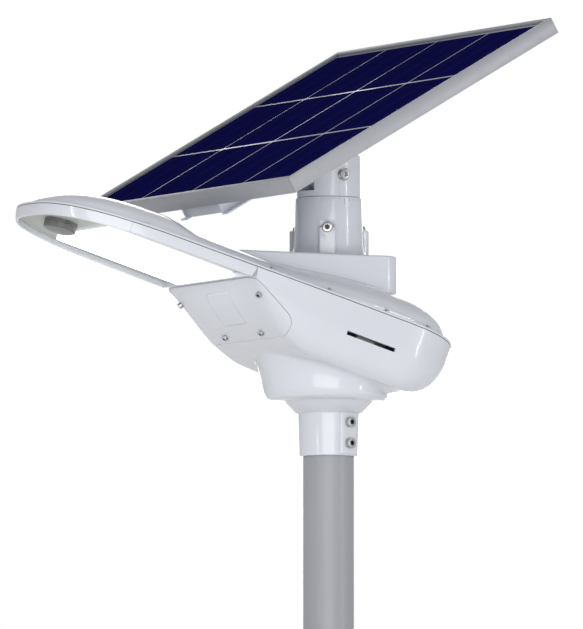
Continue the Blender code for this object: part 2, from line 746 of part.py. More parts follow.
def build_turret_head(turn):
    joint = TURRET_JOINT
    profile = [(0.0120, 0.6643), (0.0400, 0.6643), (0.0400, joint), (0.0481, joint)]
    profile += [(0.0481, 0.7470), (0.0455, 0.7500), (0.0120, 0.7500)]
    head = add_object("turret_head", turned(profile), "white_enamel", turn)
    slot = block((-0.0277, -0.0600, 0.6950), (0.0277, 0.0300, 0.8000))
    combine(head, add_cutter("fork_slot", slot), "DIFFERENCE")
    wedge = block((-0.07, -0.10, 0.0300), (0.07, 0.10, 0.0900))
    lean = Matrix.Translation((0.0, 0.0, HINGE_HEIGHT)) @ Matrix.Rotation(math.radians(32.0), 4, "X")
    bmesh.ops.transform(wedge, matrix=lean, verts=wedge.verts)
    combine(head, add_cutter("front_slope", wedge), "DIFFERENCE")
    axis = Vector((0.0, 0.0, HINGE_HEIGHT))
    side = Vector((1.0, 0.0, 0.0))
    hole = rod_between(axis - side * 0.06, axis + side * 0.06, 0.0054)
    combine(head, add_cutter("tilt_bolt_hole", hole), "DIFFERENCE")
    for number, way in enumerate((side, -side), 1):
        face = rod_between(axis + way * 0.0455, axis + way * 0.0600, 0.0098, 20)
        combine(head, add_cutter("bolt_seat_%d" % number, face), "DIFFERENCE")
    ring = [(0.0300, 0.6592), (0.0435, 0.6592), (0.0435, 0.6637), (0.0300, 0.6637)]
    add_object("turret_ring", turned(ring), "aluminium", turn)


# Panel, built around the hinge axis: x across, y up the slope, z away from the hinge
def build_knuckle(tilt):
    bm = rod_between(Vector((-0.0270, 0, 0)), Vector((0.0270, 0, 0)), 0.0230, 24)
    knuckle = add_object("hinge_knuckle", bm, "white_enamel", tilt)
    combine(knuckle, add_cutter("neck_block", block((-0.0268, -0.0200, 0.0050), (0.0268, 0.0200, 0.0400)), tilt), "UNION")
    plate = block((-0.0745, -0.0500, 0.0387), (0.0745, 0.0500, 0.0442))
    combine(knuckle, add_cutter("hub_plate", plate, tilt), "UNION")
    side = Vector((1.0, 0.0, 0.0))
    holes = [rod_between(-side * 0.05, side * 0.05, 0.0054)]
    for x, y in arm_bolt_places():
        holes.append(rod_between(Vector((x, y, 0.036)), Vector((x, y, 0.048)), 0.0034, 8))
    combine(knuckle, add_cutter("knuckle_holes", several(holes), tilt), "DIFFERENCE")
    rings = [
        [Vector((0.0461 + p.z, p.x, p.y)) for p in circle(0.0050, z, 12)] for z in (-0.1050, 0.0)
    ]
    rings += [[Vector((0.0461 + p.z, p.x, p.y)) for p in circle(r, z, 12)] for r, z in bolt_head_profile()]
    bm = bmesh.new()
    add_rings(bm, rings)
    add_object("tilt_bolt", bm, "steel", tilt)
    nut = bmesh.new()
    section = [(0.0053, -0.0458), (0.0088, -0.0458), (0.0088, -0.0528), (0.0053, -0.0528)]
    add_rings(nut, [[Vector((x, p.x, p.y)) for p in circle(r, 0.0, 12)] for r, x in section], close_rows=True)
    add_object("tilt_nut", nut, "steel", tilt)


def bolt_head_profile():
    return ((0.0088, 0.0), (0.0088, 0.0014), (0.0075, 0.0016), (0.0075, 0.0068), (0.0068, 0.0076), (0.0040, 0.0076), (0.0040, 0.0035))


def arm_bolt_places():
    return [(x, y) for x in (0.0670, -0.0670) for y in (0.036, -0.036)]


def build_arms(tilt):
    bottom = 0.0445
    top = PANEL_STANDOFF - GAP
    sheet = 0.0025
    flange = 0.0190
    for side, name in ((1, "near"), (-1, "far")):
        web = ARM_OFFSET
        channel = [(web, bottom), (web + flange, bottom), (web + flange, bottom + sheet)]
        channel += [(web + sheet, bottom + sheet), (web + sheet, top - sheet), (web + flange, top - sheet)]
        channel += [(web + flange, top), (web, top)]
        profile = [(side * x, z) for x, z in channel]
        bm = extruded(profile, PANEL_LOW + 0.016, PANEL_HIGH - 0.016, lambda x, z, y: Vector((x, y, z)))
        arm = add_object("panel_arm_" + name, bm, "white_enamel", tilt)
        holes = []
        for x, y in arm_bolt_places():
            if x * side > 0:
                holes.append(rod_between(Vector((x, y, 0.042)), Vector((x, y, 0.050)), 0.0034, 8))
        combine(arm, add_cutter("arm_holes_" + name, several(holes), tilt), "DIFFERENCE")
    for number, (x, y) in enumerate(arm_bolt_places(), 1):
        make_screw("arm_bolt_%d" % number, tilt, (x, y, 0.0387 - GAP), (0, 0, -1), 0.0055, 0.0050, 0.0030, 0.0110)
    reach = ARM_OFFSET - GAP
    for name, edge, way in (("low", PANEL_LOW + 0.018, 1.0), ("high", PANEL_HIGH - 0.018, -1.0)):
        angle = [(0.0, 0.0470), (0.0022, 0.0470), (0.0022, top - 0.0022), (0.0200, top - 0.0022), (0.0200, top), (0.0, top)]
        profile = [(edge + way * y, z) for y, z in angle]
        bm = extruded(profile, -reach, reach, lambda y, z, x: Vector((x, y, z)))
        add_object("cross_rail_" + name, bm, "white_enamel", tilt)


def build_panel(tilt):
    # Frame rails: an outer wall with a foot flange, a glass ledge and a top lip, mitred at the corners
    base = PANEL_STANDOFF
    lip = base + PANEL_THICKNESS
    section = [(0.0, base), (0.0200, base), (0.0200, base + 0.0016), (0.0020, base + 0.0016)]
    section += [(0.0020, base + 0.0145), (0.0080, base + 0.0145), (0.0080, base + 0.0160)]
    section += [(0.0025, base + 0.0160), (0.0025, base + 0.0215), (0.0080, base + 0.0215), (0.0080, lip), (0.0, lip)]
    half = (PANEL_WIDTH / 2, PANEL_LENGTH / 2)
    sides = {"near": (0, 1.0), "far": (0, -1.0), "high": (1, 1.0), "low": (1, -1.0)}
    for name, (axis, way) in sides.items():
        rings = []
        for end in (-1.0, 1.0):
            ring = []
            for depth, height in section:
                across = way * (half[axis] - depth)
                along = end * (half[1 - axis] - depth - GAP)
                x, y = (across, along) if axis == 0 else (along, across)
                ring.append(Vector((x, y + PANEL_CENTRE, height)))
            rings.append(ring)
        bm = bmesh.new()
        add_rings(bm, rings)
        add_object("frame_rail_" + name, bm, "aluminium", tilt)
    edge = 0.0028
    low = (-half[0] + edge, PANEL_LOW + edge, base + 0.0163)
    high = (half[0] - edge, PANEL_HIGH - edge, base + 0.0212)
    add_object("panel_laminate", block(low, high), "solar_glass", tilt)
    box = block((-0.050, 0.165, base + 0.0013), (0.050, 0.235, base + 0.0160))
    bmesh.ops.bevel(box, geom=box.edges[:], offset=0.002, segments=1, affect="EDGES")
    add_object("junction_box", box, "dark_plastic", tilt)


def build_pole():
    inside = POLE_RADIUS - POLE_WALL
    profile = [(POLE_RADIUS, 0.0), (POLE_RADIUS, POLE_LENGTH), (inside, POLE_LENGTH), (inside, 0.0)]
    add_object("pole_top", turned(profile), "pole_paint")


def main():
    for old in list(bpy.data.objects):
        bpy.data.objects.remove(old, do_unlink=True)
    head = make_axis("head_frame", (0.0, 0.0, SEAM_HEIGHT), -HEAD_RISE)
    turn = make_axis("panel_azimuth_axis", (0.0, 0.0, 0.0))
    tilt = make_axis("panel_tilt_axis", (0.0, 0.0, HINGE_HEIGHT), PANEL_TILT, turn)
    bpy.context.view_layer.update()
    build_pole()
    build_lower_housing(head)
    build_battery_cover(head)
    cover = build_upper_cover(head)
    holes = []
    for x, y in flange_screw_places():
        holes.append(rod_between(Vector((x, y, -0.002)), Vector((x, y, 0.006)), 0.0018, 8))
    combine(cover, add_cutter("cover_flange_holes", several(holes), head), "DIFFERENCE")
    build_gasket(head)
    build_bezel(head)
    build_light(head)
    build_inside(head)
    build_lamp_screws(head)
    build_turret_base()
    build_turret_head(turn)
    build_knuckle(tilt)
    build_arms(tilt)
    build_panel(tilt)
    bpy.context.view_layer.update()


main()
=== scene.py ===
import math

import bpy
import numpy as np
from mathutils import Matrix, Vector


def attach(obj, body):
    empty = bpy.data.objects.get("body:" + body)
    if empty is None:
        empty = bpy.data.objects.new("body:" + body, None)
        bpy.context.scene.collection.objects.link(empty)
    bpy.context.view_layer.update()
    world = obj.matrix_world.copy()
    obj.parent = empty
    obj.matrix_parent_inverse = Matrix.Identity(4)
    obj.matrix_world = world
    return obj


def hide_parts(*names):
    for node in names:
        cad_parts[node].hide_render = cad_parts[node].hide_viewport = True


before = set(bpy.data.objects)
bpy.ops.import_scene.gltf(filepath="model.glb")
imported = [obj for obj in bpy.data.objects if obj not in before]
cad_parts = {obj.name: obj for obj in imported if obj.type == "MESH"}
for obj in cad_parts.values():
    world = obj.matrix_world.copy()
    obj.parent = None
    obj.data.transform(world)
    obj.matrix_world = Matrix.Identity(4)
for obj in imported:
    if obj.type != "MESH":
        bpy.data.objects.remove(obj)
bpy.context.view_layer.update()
print("frame loaded:", len(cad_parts), "pieces")


class Sizes:
    # Named measures in metres and degrees
    def __init__(self, **sizes):
        for name, value in sizes.items():
            setattr(self, name, value)


# Where the lamp head and the panel lie
head = Sizes(
    rise=16.6, seamHeight=0.510, halfWidth=0.149, narrowing=0.009, narrowFrom=-0.05, narrowOver=0.30,
    noseStart=-0.300, noseLength=0.224, nosePower=2.6, tailStart=0.073, tailLength=0.1175, divide=-0.2037,
    noseJoint=-0.4135, seam=0.0012, rimDepth=0.0167)
panel = Sizes(hinge=0.7189, tilt=30.0, centre=0.024)
headPlace = Matrix.Translation((0, 0, head.seamHeight)) @ Matrix.Rotation(math.radians(-head.rise), 4, "X")
headUp = headPlace.to_3x3() @ Vector((0, 0, 1))
tiltPlace = Matrix.Translation((0, 0, panel.hinge)) @ Matrix.Rotation(math.radians(panel.tilt), 4, "X")
panelUp = tiltPlace.to_3x3() @ Vector((0, 0, 1))
hingePoint, sideways = Vector((0, 0, panel.hinge)), Vector((1, 0, 0))


# Modelling helpers
def leaveEdit():
    if bpy.context.object and bpy.context.object.mode != "OBJECT":
        bpy.ops.object.mode_set(mode="OBJECT")


def pick(piece):
    leaveEdit()
    bpy.ops.object.select_all(action="DESELECT")
    piece.select_set(True)
    bpy.context.view_layer.objects.active = piece
    return piece


def fresh():
    leaveEdit()
    bpy.ops.object.select_all(action="DESELECT")


def applyAll(piece):
    pick(piece)
    for modifier in list(piece.modifiers):
        bpy.ops.object.modifier_apply(modifier=modifier.name)
    return piece


def editAll(piece):
    pick(piece)
    bpy.ops.object.mode_set(mode="EDIT")
    bpy.ops.mesh.select_all(action="SELECT")


def faceOutwards():
    bpy.ops.mesh.select_all(action="SELECT")
    bpy.ops.mesh.normals_make_consistent(inside=False)
    leaveEdit()


def wrapRows(rows, closeRows=False, capEnds=False):
    # A grid whose points are laid on rings, joined to itself all round
    rows = [np.asarray(row, dtype=float) for row in rows]
    if closeRows:
        rows = rows + [rows[0]]
    around = len(rows[0])
    fresh()
    bpy.ops.mesh.primitive_grid_add(x_subdivisions=around, y_subdivisions=len(rows) - 1, size=1)
    piece = bpy.context.object
    points = np.concatenate([np.vstack([row, row[:1]]) for row in rows])
    piece.data.vertices.foreach_set("co", points.ravel())
    piece.data.update()
    editAll(piece)
    bpy.ops.mesh.remove_doubles(threshold=1e-6)
    bpy.ops.mesh.dissolve_degenerate(threshold=1e-6)
    faceOutwards()
    if capEnds:
        editAll(piece)
        bpy.ops.mesh.fill_holes(sides=0)
        faceOutwards()
    return piece


def addBox(low, high, place=Matrix()):
    fresh()
    bpy.ops.mesh.primitive_cube_add(size=1)
    piece = bpy.context.object
    low, high = Vector(low), Vector(high)
    piece.data.transform(place @ Matrix.Translation((low + high) / 2) @ Matrix.Diagonal((*(high - low), 1)))
    return piece


def addRod(start, end, radius, sides=48, endRadius=None):
    fresh()
    start, end = Vector(start), Vector(end)
    top = radius if endRadius is None else endRadius
    bpy.ops.mesh.primitive_cone_add(vertices=sides, radius1=radius, radius2=top, depth=(end - start).length)
    piece = bpy.context.object
    turn = (end - start).to_track_quat("Z", "Y").to_matrix().to_4x4()
    piece.data.transform(Matrix.Translation((start + end) / 2) @ turn)
    return piece


def combine(piece, other, how="DIFFERENCE"):
    # Adds, cuts or intersects, and uses the other piece up
    pick(piece)
    modifier = piece.modifiers.new("combine", "BOOLEAN")
    modifier.operation = how
    modifier.solver = "EXACT"
    modifier.object = other
    bpy.ops.object.modifier_apply(modifier=modifier.name)
    bpy.data.objects.remove(other, do_unlink=True)
    return piece


def roundEdges(piece, width, segments=2):
    # Softens every edge sharper than 30 degrees
    modifier = piece.modifiers.new("round", "BEVEL")
    modifier.width = width
    modifier.segments = segments
    modifier.limit_method = "ANGLE"
    modifier.angle_limit = math.radians(30.0)
    return applyAll(piece)


def bevelWhere(piece, test, width, segments):
    # Bevels the edges whose middle and direction pass a test
    pick(piece)
    mesh = piece.data
    bpy.context.tool_settings.mesh_select_mode = (False, True, False)
    for item in list(mesh.vertices) + list(mesh.edges) + list(mesh.polygons):
        item.select = False
    for edge in mesh.edges:
        a, b = (mesh.vertices[i].co for i in edge.vertices)
        edge.select = test((a + b) / 2, (b - a).normalized())
    bpy.ops.object.mode_set(mode="EDIT")
    bpy.ops.mesh.bevel(offset=width, segments=segments, affect="EDGES")
    bpy.ops.object.mode_set(mode="OBJECT")
    bpy.context.tool_settings.mesh_select_mode = (True, False, False)
    return piece


def joinPieces(pieces):
    pick(pieces[0])
    for piece in pieces[1:]:
        piece.select_set(True)
    bpy.ops.object.join()
    return bpy.context.object


def addObject(name, data):
    added = bpy.data.objects.new(name, data)
    bpy.context.scene.collection.objects.link(added)
    return added


def copyOf(piece):
    return addObject(piece.name, piece.data.copy())


def finishPiece(piece, name, material, body, nodes=(), angle=35.0):
    pick(piece)
    bpy.ops.object.transform_apply(location=True, rotation=True, scale=True)
    bpy.ops.object.shade_smooth_by_angle(angle=math.radians(angle))
    piece.name = piece.data.name = name
    piece.data.materials.clear()
    piece.data.materials.append(material)
    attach(piece, body)
    if nodes:
        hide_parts(*nodes)
    return piece


def softCopy(node, width):
    # The solid as built, with its sharp edges softened
    piece = addObject(node + "_soft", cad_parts[node].data.copy())
    editAll(piece)
    bpy.ops.mesh.remove_doubles(threshold=1e-5)
    bpy.ops.mesh.dissolve_limited(angle_limit=math.radians(0.5))
    leaveEdit()
    return roundEdges(piece, width)


def finishCasting(piece, name, node, body="lamp", angle=35.0):
    return finishPiece(piece, name, finishes["white"], body, [node], angle)


# Shader maths: a socket that takes part in expressions
class Wire:
    def __init__(self, paint, socket):
        self.paint, self.socket = paint, socket

    def calc(self, operation, *others, swap=False):
        values = [self, *others]
        if swap:
            values.reverse()
        return self.paint.node("ShaderNodeMath", {"operation": operation}, dict(enumerate(values)))

    def __add__(self, other): return self.calc("ADD", other)
    def __radd__(self, other): return self.calc("ADD", other)
    def __sub__(self, other): return self.calc("SUBTRACT", other)
    def __rsub__(self, other): return self.calc("SUBTRACT", other, swap=True)
    def __mul__(self, other): return self.calc("MULTIPLY", other)
    def __rmul__(self, other): return self.calc("MULTIPLY", other)
    def __truediv__(self, other): return self.calc("DIVIDE", other)


class Paint:
    def __init__(self, name, **fixed):
        self.material = bpy.data.materials.new(name)
        self.material.use_nodes = True
        self.tree = self.material.node_tree
        self.shader = self.tree.nodes["Principled BSDF"]
        for key, value in fixed.items():
            self.shader.inputs[key.replace("_", " ")].default_value = value
        self.place = self.node("ShaderNodeTexCoord", {}, {}, "Object")

    def node(self, kind, settings, inputs, output=0):
        made = self.tree.nodes.new(kind)
        for key, value in settings.items():
            setattr(made, key, value)
        for key, value in inputs.items():
            if isinstance(value, Wire):
                self.tree.links.new(value.socket, made.inputs[key])
            else:
                made.inputs[key].default_value = value
        return Wire(self, made.outputs[output])

    def noise(self, scale, detail=4.0, rough=0.5, stretch=None):
        place = self.place
        if stretch:
            place = self.node("ShaderNodeMapping", {}, {"Vector": place, "Scale": stretch})
        inputs = {"Vector": place, "Scale": scale, "Detail": detail, "Roughness": rough}
        return self.node("ShaderNodeTexNoise", {}, inputs)

    def ramp(self, value, low, high):
        inputs = {"Value": value, "From Min": low, "From Max": high}
        return self.node("ShaderNodeMapRange", {"interpolation_type": "SMOOTHSTEP"}, inputs)

    def mix(self, factor, first, second):
        return self.node("ShaderNodeMix", {"data_type": "RGBA"}, {0: factor, 6: first, 7: second}, 2)

    def axes(self, place):
        made = self.node("ShaderNodeSeparateXYZ", {}, {0: place}).socket.node
        return [Wire(self, made.outputs[i]) for i in range(3)]

    def turned(self, height, degrees):
        # Object coordinates of a frame that is raised and then turned about X
        inputs = {"Vector": self.place, "Location": (0, 0, height), "Rotation": (math.radians(degrees), 0, 0)}
        return self.node("ShaderNodeMapping", {"vector_type": "TEXTURE"}, inputs)

    def feed(self, name, wire):
        self.tree.links.new(wire.socket, self.shader.inputs[name])

    def bump(self, height, strength, distance):
        normal = self.node("ShaderNodeBump", {}, {"Height": height, "Strength": strength, "Distance": distance})
        self.feed("Normal", normal)


def coating(name, tone, shade, roughness, coat, peel=0.12, dust=(0.50, 0.49, 0.46, 1)):
    # Powder coat: faint cloudiness, orange peel, and a thin film of road dust in patches
    paint = Paint(name, Metallic=0.0, Coat_Weight=coat, Coat_Roughness=0.06, IOR=1.5)
    cloud = paint.noise(7.0, 3.0)
    film = paint.ramp(paint.noise(23.0, 6.0, 0.62), 0.55, 0.85) * 0.10
    streak = paint.ramp(paint.noise(60.0, 4.0, 0.6, stretch=(1.0, 1.0, 0.12)), 0.58, 0.80) * 0.05
    colour = paint.mix(cloud, tone, shade)
    colour = paint.mix(film + streak, colour, dust)
    paint.feed("Base Color", colour)
    fine = paint.noise(420.0, 2.0, 0.5)
    paint.feed("Roughness", roughness + cloud * 0.05 + film * 1.2 + fine * 0.03)
    paint.bump(fine + paint.noise(1500.0, 1.0) * 0.3, peel, 0.00025)
    return paint.material


def bareMetal(name, tone, shade, roughness, grain=(1.0, 1.0, 1.0), metallic=1.0):
    # Rolled or turned metal: fine directional grain, light stains and small scratches
    paint = Paint(name, Metallic=metallic)
    lines = paint.noise(900.0, 3.0, 0.6, stretch=grain)
    stain = paint.ramp(paint.noise(35.0, 5.0, 0.6), 0.45, 0.8)
    scratch = paint.ramp(paint.noise(260.0, 2.0, 0.4, stretch=(1.0, 0.06, 1.0)), 0.70, 0.78)
    paint.feed("Base Color", paint.mix(lines * 0.5 + stain * 0.4, tone, shade))
    paint.feed("Roughness", roughness + lines * 0.10 + stain * 0.08 - scratch * 0.06)
    paint.bump(lines + scratch * 0.6, 0.10, 0.0002)
    return paint.material


def moulded(name, tone, shade, roughness, texture=700.0, strength=0.25):
    # Moulded plastic or rubber: fine leather-like texture with scuffs
    paint = Paint(name, Metallic=0.0)
    inputs = {"Vector": paint.place, "Scale": texture}
    grain = paint.node("ShaderNodeTexVoronoi", {"feature": "SMOOTH_F1"}, inputs)
    scuff = paint.ramp(paint.noise(48.0, 6.0, 0.65), 0.55, 0.8)
    paint.feed("Base Color", paint.mix(scuff * 0.6 + paint.noise(9.0) * 0.3, tone, shade))
    paint.feed("Roughness", roughness + scuff * 0.12 + grain * 0.05)
    paint.bump(grain, strength, 0.0002)
    return paint.material


finishes = {
    "white": coating("glossWhite", (0.63, 0.65, 0.70, 1), (0.59, 0.61, 0.665, 1), 0.16, 0.5),
    "channel": coating("satinWhite", (0.66, 0.68, 0.73, 1), (0.60, 0.62, 0.68, 1), 0.30, 0.2),
    "pole": coating("poleGrey", (0.315, 0.325, 0.352, 1), (0.290, 0.300, 0.326, 1), 0.36, 0.1, 0.2),
    "rail": bareMetal("anodisedRail", (0.40, 0.41, 0.44, 1), (0.34, 0.35, 0.38, 1), 0.42, (0.05, 1.0, 1.0), 0.55),
    "steel": bareMetal("stainless", (0.50, 0.50, 0.51, 1), (0.34, 0.34, 0.35, 1), 0.26),
    "aluminium": bareMetal("millAluminium", (0.66, 0.66, 0.67, 1), (0.55, 0.55, 0.56, 1), 0.34, (0.08, 1.0, 1.0)),
    # Painted shade: a dark metal for the screw sockets, standing in for the shadow inside them
    "grime": bareMetal("paintedSocketShade", (0.10, 0.10, 0.105, 1), (0.05, 0.05, 0.05, 1), 0.5),
    "rubber": moulded("sealRubber", (0.03, 0.03, 0.03, 1), (0.07, 0.07, 0.07, 1), 0.72),
    "black": moulded("blackPlastic", (0.028, 0.028, 0.030, 1), (0.06, 0.06, 0.062, 1), 0.45),
    "sensor": moulded("sensorGrey", (0.115, 0.115, 0.12, 1), (0.17, 0.17, 0.17, 1), 0.42),
    "sensorDome": moulded("sensorDome", (0.19, 0.19, 0.195, 1), (0.25, 0.25, 0.25, 1), 0.35, 420.0, 0.5),
    "plate": moulded("lightPlate", (0.43, 0.455, 0.43, 1), (0.38, 0.40, 0.38, 1), 0.45, 1200.0, 0.15),
}
print("materials of the metal and plastic pieces ready")


# Plan outline of the head, as rows of (x, y) in the head's own frame
def smoothStep(t):
    t = np.clip(t, 0.0, 1.0)
    return t * t * (3.0 - 2.0 * t)


def halfWidth(y):
    # The head narrows a little towards its nose
    return head.halfWidth - head.narrowing * smoothStep((head.narrowFrom - np.asarray(y)) / head.narrowOver)


def nosePoints(steps):
    angle = 0.5 * math.pi * np.linspace(0.0, 1.0, steps + 1)
    power = 2.0 / head.nosePower
    y = head.noseStart - head.noseLength * np.abs(np.cos(angle)) ** power
    y[-1] = head.noseStart
    return np.column_stack([halfWidth(y) * np.sin(angle) ** power, y])


def sidePoints(start, end, steps):
    y = np.linspace(start, end, steps + 1)
    return np.column_stack([halfWidth(y), y])


def tailPoints(steps):
    angle = 0.5 * math.pi * np.arange(1, steps + 1) / steps
    return np.column_stack([head.halfWidth * np.cos(angle), head.tailStart + head.tailLength * np.sin(angle)])


def acrossPoints(y, steps):
    return np.column_stack([halfWidth(y) * np.arange(steps) / steps, np.full(steps, y)])


def wholeLoop(half):
    half = half.copy()
    half[0, 0] = 0.0
    half[-1, 0] = 0.0
    return np.vstack([half, half[1:-1][::-1] * (-1.0, 1.0)])


def fullOutline():
    sides = sidePoints(head.noseStart, head.tailStart, 44)[1:]
    return wholeLoop(np.vstack([nosePoints(34), sides, tailPoints(34)]))


def bezelOutline():
    y = head.divide - 0.0005
    half = np.vstack([nosePoints(44), sidePoints(head.noseStart, y, 12)[1:], acrossPoints(y, 12)[::-1]])
    return wholeLoop(half)


def inwards(loop, distance):
    before = loop - np.roll(loop, 1, axis=0)
    after = np.roll(loop, -1, axis=0) - loop
    before /= np.linalg.norm(before, axis=1)[:, None]
    after /= np.linalg.norm(after, axis=1)[:, None]
    first = np.column_stack([-before[:, 1], before[:, 0]])
    middle = first + np.column_stack([-after[:, 1], after[:, 0]])
    middle /= np.linalg.norm(middle, axis=1)[:, None]
    nxt = np.roll(loop, -1, axis=0)
    area = (loop[:, 0] * nxt[:, 1] - nxt[:, 0] * loop[:, 1]).sum()
    reach = np.broadcast_to(distance, len(loop)) * (1.0 if area > 0 else -1.0)
    return loop + middle * (reach / np.maximum((middle * first).sum(1), 0.6))[:, None]


def arcPoints(angle):
    return np.column_stack([np.cos(angle), np.sin(angle)])


def unitRing(sides):
    return arcPoints(np.linspace(0.0, 2.0 * math.pi, sides, endpoint=False))


def atHeight(loop, height):
    return np.column_stack([loop, np.broadcast_to(height, len(loop))])


def moved(rows, place):
    turn = np.array(place.to_3x3())
    return [row @ turn.T + np.array(place.translation) for row in rows]


def smoothRows(rows, steps, sharp=()):
    # More rows between the given ones, on a smooth curve that keeps the named rows crisp
    rows = [np.asarray(row) for row in rows]
    gaps = [max(np.linalg.norm(b - a, axis=1).mean(), 1e-6) for a, b in zip(rows, rows[1:])]
    slopes = []
    for i in range(len(rows)):
        ahead = (rows[i + 1] - rows[i]) / gaps[i] if i < len(gaps) else None
        behind = (rows[i] - rows[i - 1]) / gaps[i - 1] if i > 0 else None
        if ahead is None or behind is None or i in sharp:
            slopes.append((behind, ahead))
        else:
            mean = (ahead * gaps[i - 1] + behind * gaps[i]) / (gaps[i] + gaps[i - 1])
            slopes.append((mean, mean))
    result = [rows[0]]
    for i, gap in enumerate(gaps):
        leave, arrive = slopes[i][1] * gap, slopes[i + 1][0] * gap
        for t in np.arange(1, steps + 1) / steps:
            a, b = 2 * t**3 - 3 * t**2 + 1, t**3 - 2 * t**2 + t
            result.append(rows[i] * a + leave * b + rows[i + 1] * (1 - a) + arrive * (t**3 - t**2))
    return result


def refine(rows, along, around, corners=()):
    # Finer both ways; the corner columns stay crisp
    columns = list(np.stack(smoothRows(rows, along), axis=1))
    count = len(columns)
    columns = columns[-2:] + columns + columns[:3]
    fine = smoothRows(columns, around, [c % count + 2 for c in corners])
    return list(np.stack(fine[2 * around:(2 + count) * around], axis=1))


# Upper cover: flange, domed shell and the deck that carries the turret
cover = Sizes(
    flange=0.003, flangeWidth=0.013, wall=0.0025, rows=22, low=0.030, rearRise=0.027, rearFrom=-0.19, rearOver=0.22,
    noseRise=0.0135, noseFrom=-0.285, noseOver=0.05, spineFront=-0.350, spineRear=0.085, shoulder=0.010,
    shoulderRise=0.0045, shoulderFoot=0.0016, shoulderFront=-0.4000, shoulderIn=0.022, shoulderRear=-0.255,
    shoulderOut=0.075, deckHeight=0.597, deckHalfWidth=0.085, deckFront=-0.200, deckRear=0.080, deckCorner=0.026,
    deckEdge=0.0035, deckFloor=0.014, screwHole=0.0018)
# Edge of the flange and fillet to the dome: inset and height
coverRim = ((0.0, 0.0), (0.0, 0.0023), (0.0002, 0.0028), (0.0007, 0.003), (0.0102, 0.003), (0.0121, 0.0035))
flangeScrews = Sizes(rows=(-0.1777, -0.0787, 0.0212, 0.0960), inset=0.0062)


def coverHeight(y):
    # Low in the middle, a hump over the lamps and a higher one at the rear
    rear = cover.rearRise * smoothStep((y - cover.rearFrom) / cover.rearOver)
    front = cover.noseRise * smoothStep((cover.noseFrom - y) / cover.noseOver)
    return cover.low + rear + front


def domeRows(base, lift, height=coverHeight):
    rows = []
    for angle in np.linspace(0.0, 0.5 * math.pi, cover.rows):
        fraction, rise = math.cos(angle), math.sin(angle)
        spine = np.clip(base[:, 1], cover.spineFront, cover.spineRear)
        if fraction < 1e-9:
            fraction = 0.0
        flat = np.column_stack([base[:, 0] * fraction, spine + (base[:, 1] - spine) * fraction])
        rows.append(atHeight(flat, lift + height(flat[:, 1]) * rise))
    return rows


def deckSolid(shrink, bottom, top, edge=0.0):
    # Straight front corners inside the dome, round rear corners, softened top edge
    side, rear, radius = cover.deckHalfWidth - shrink, cover.deckRear - shrink, cover.deckCorner - shrink
    front = cover.deckFront + 6.0 * shrink
    angle = 0.5 * math.pi * np.arange(13) / 12
    arc = arcPoints(angle) * radius + (side - radius, rear - radius)
    loop = np.vstack([[(side, front)], arc, arc[::-1] * (-1.0, 1.0), [(-side, front)]])
    rows = [atHeight(loop, bottom), atHeight(loop, top - edge)]
    for turn in np.radians((22.5, 45.0, 67.5, 90.0)) if edge else ():
        rows.append(atHeight(inwards(loop, edge * (1.0 - math.cos(turn))), top - edge * (1.0 - math.sin(turn))))
    return wrapRows(rows, capEnds=True)


def makeUpperCover():
    loop = fullOutline()
    y = loop[:, 1]
    # The dome stands in from the rim along a shoulder that comes and goes
    shoulder = smoothStep((y - cover.shoulderFront) / cover.shoulderIn)
    shoulder = shoulder * smoothStep((cover.shoulderRear - y) / cover.shoulderOut)
    wall = inwards(loop, cover.flangeWidth)
    shelf = inwards(loop, cover.flangeWidth + cover.shoulder * shoulder)
    inner = inwards(loop, cover.flangeWidth + cover.wall + cover.shoulder * shoulder)
    lift = cover.flange
    step = lift + cover.shoulderRise * shoulder
    outer = domeRows(wall, lift)
    raised = domeRows(shelf, step, lambda y: coverHeight(y) - (step - lift))
    share = np.linspace(0.0, 1.0, len(outer))
    # The shoulder fades into the plain dome towards the top
    outer = [a + (b - a) * (1.0 - smoothStep((s - 0.25) / 0.6)) for a, b, s in zip(outer, raised, share)]
    rim = [atHeight(inwards(loop, inset), height) for inset, height in coverRim]
    foot = cover.shoulderFoot
    rim += [atHeight(wall, lift + foot), atHeight(wall + (shelf - wall) * 0.12, lift + (step - lift) * 0.86 + foot)]
    rows = domeRows(inner, 0.0)[::-1] + rim + outer[1:]
    piece = wrapRows(moved(rows, headPlace))
    deck = deckSolid(0.0, 0.480, cover.deckHeight, cover.deckEdge)
    combine(deck, addBox((-0.4, -0.6, -0.4), (0.4, 0.6, cover.deckFloor), headPlace))
    combine(piece, deck, "UNION")
    combine(piece, deckSolid(cover.wall, 0.450, cover.deckHeight - cover.wall))
    for place in flangeScrewPlaces():
        combine(piece, addRod(place - headUp * 0.002, place + headUp * 0.006, cover.screwHole, 20))
    return finishCasting(piece, "upperCover", "upper_cover")


def flangeScrewPlaces():
    places = []
    inset = flangeScrews.inset
    for y in flangeScrews.rows:
        x = float(halfWidth(y)) - inset
        if y > head.tailStart:
            share = (y - head.tailStart) / (head.tailLength - inset)
            x = (head.halfWidth - inset) * math.sqrt(1.0 - share ** 2)
        places += [headPlace @ Vector((x, y, 0)), headPlace @ Vector((-x, y, 0))]
    return places


# Lower housing: the belly, the boss and the pole sleeve in one casting
housing = Sizes(
    wall=0.003, frontSteps=6, finer=4, depth=0.093, deepFrom=-0.060, swell=1.8, tailFrom=0.087, tailOver=0.1035,
    tailRise=0.045, bossRadius=0.0916, bossFoot=0.388, bossDraft=math.tan(math.radians(12.0)), bossShift=-0.004,
    bossTop=0.430, bossFlare=0.008, ledgeWidth=0.0150, ledgeDepth=0.0085)
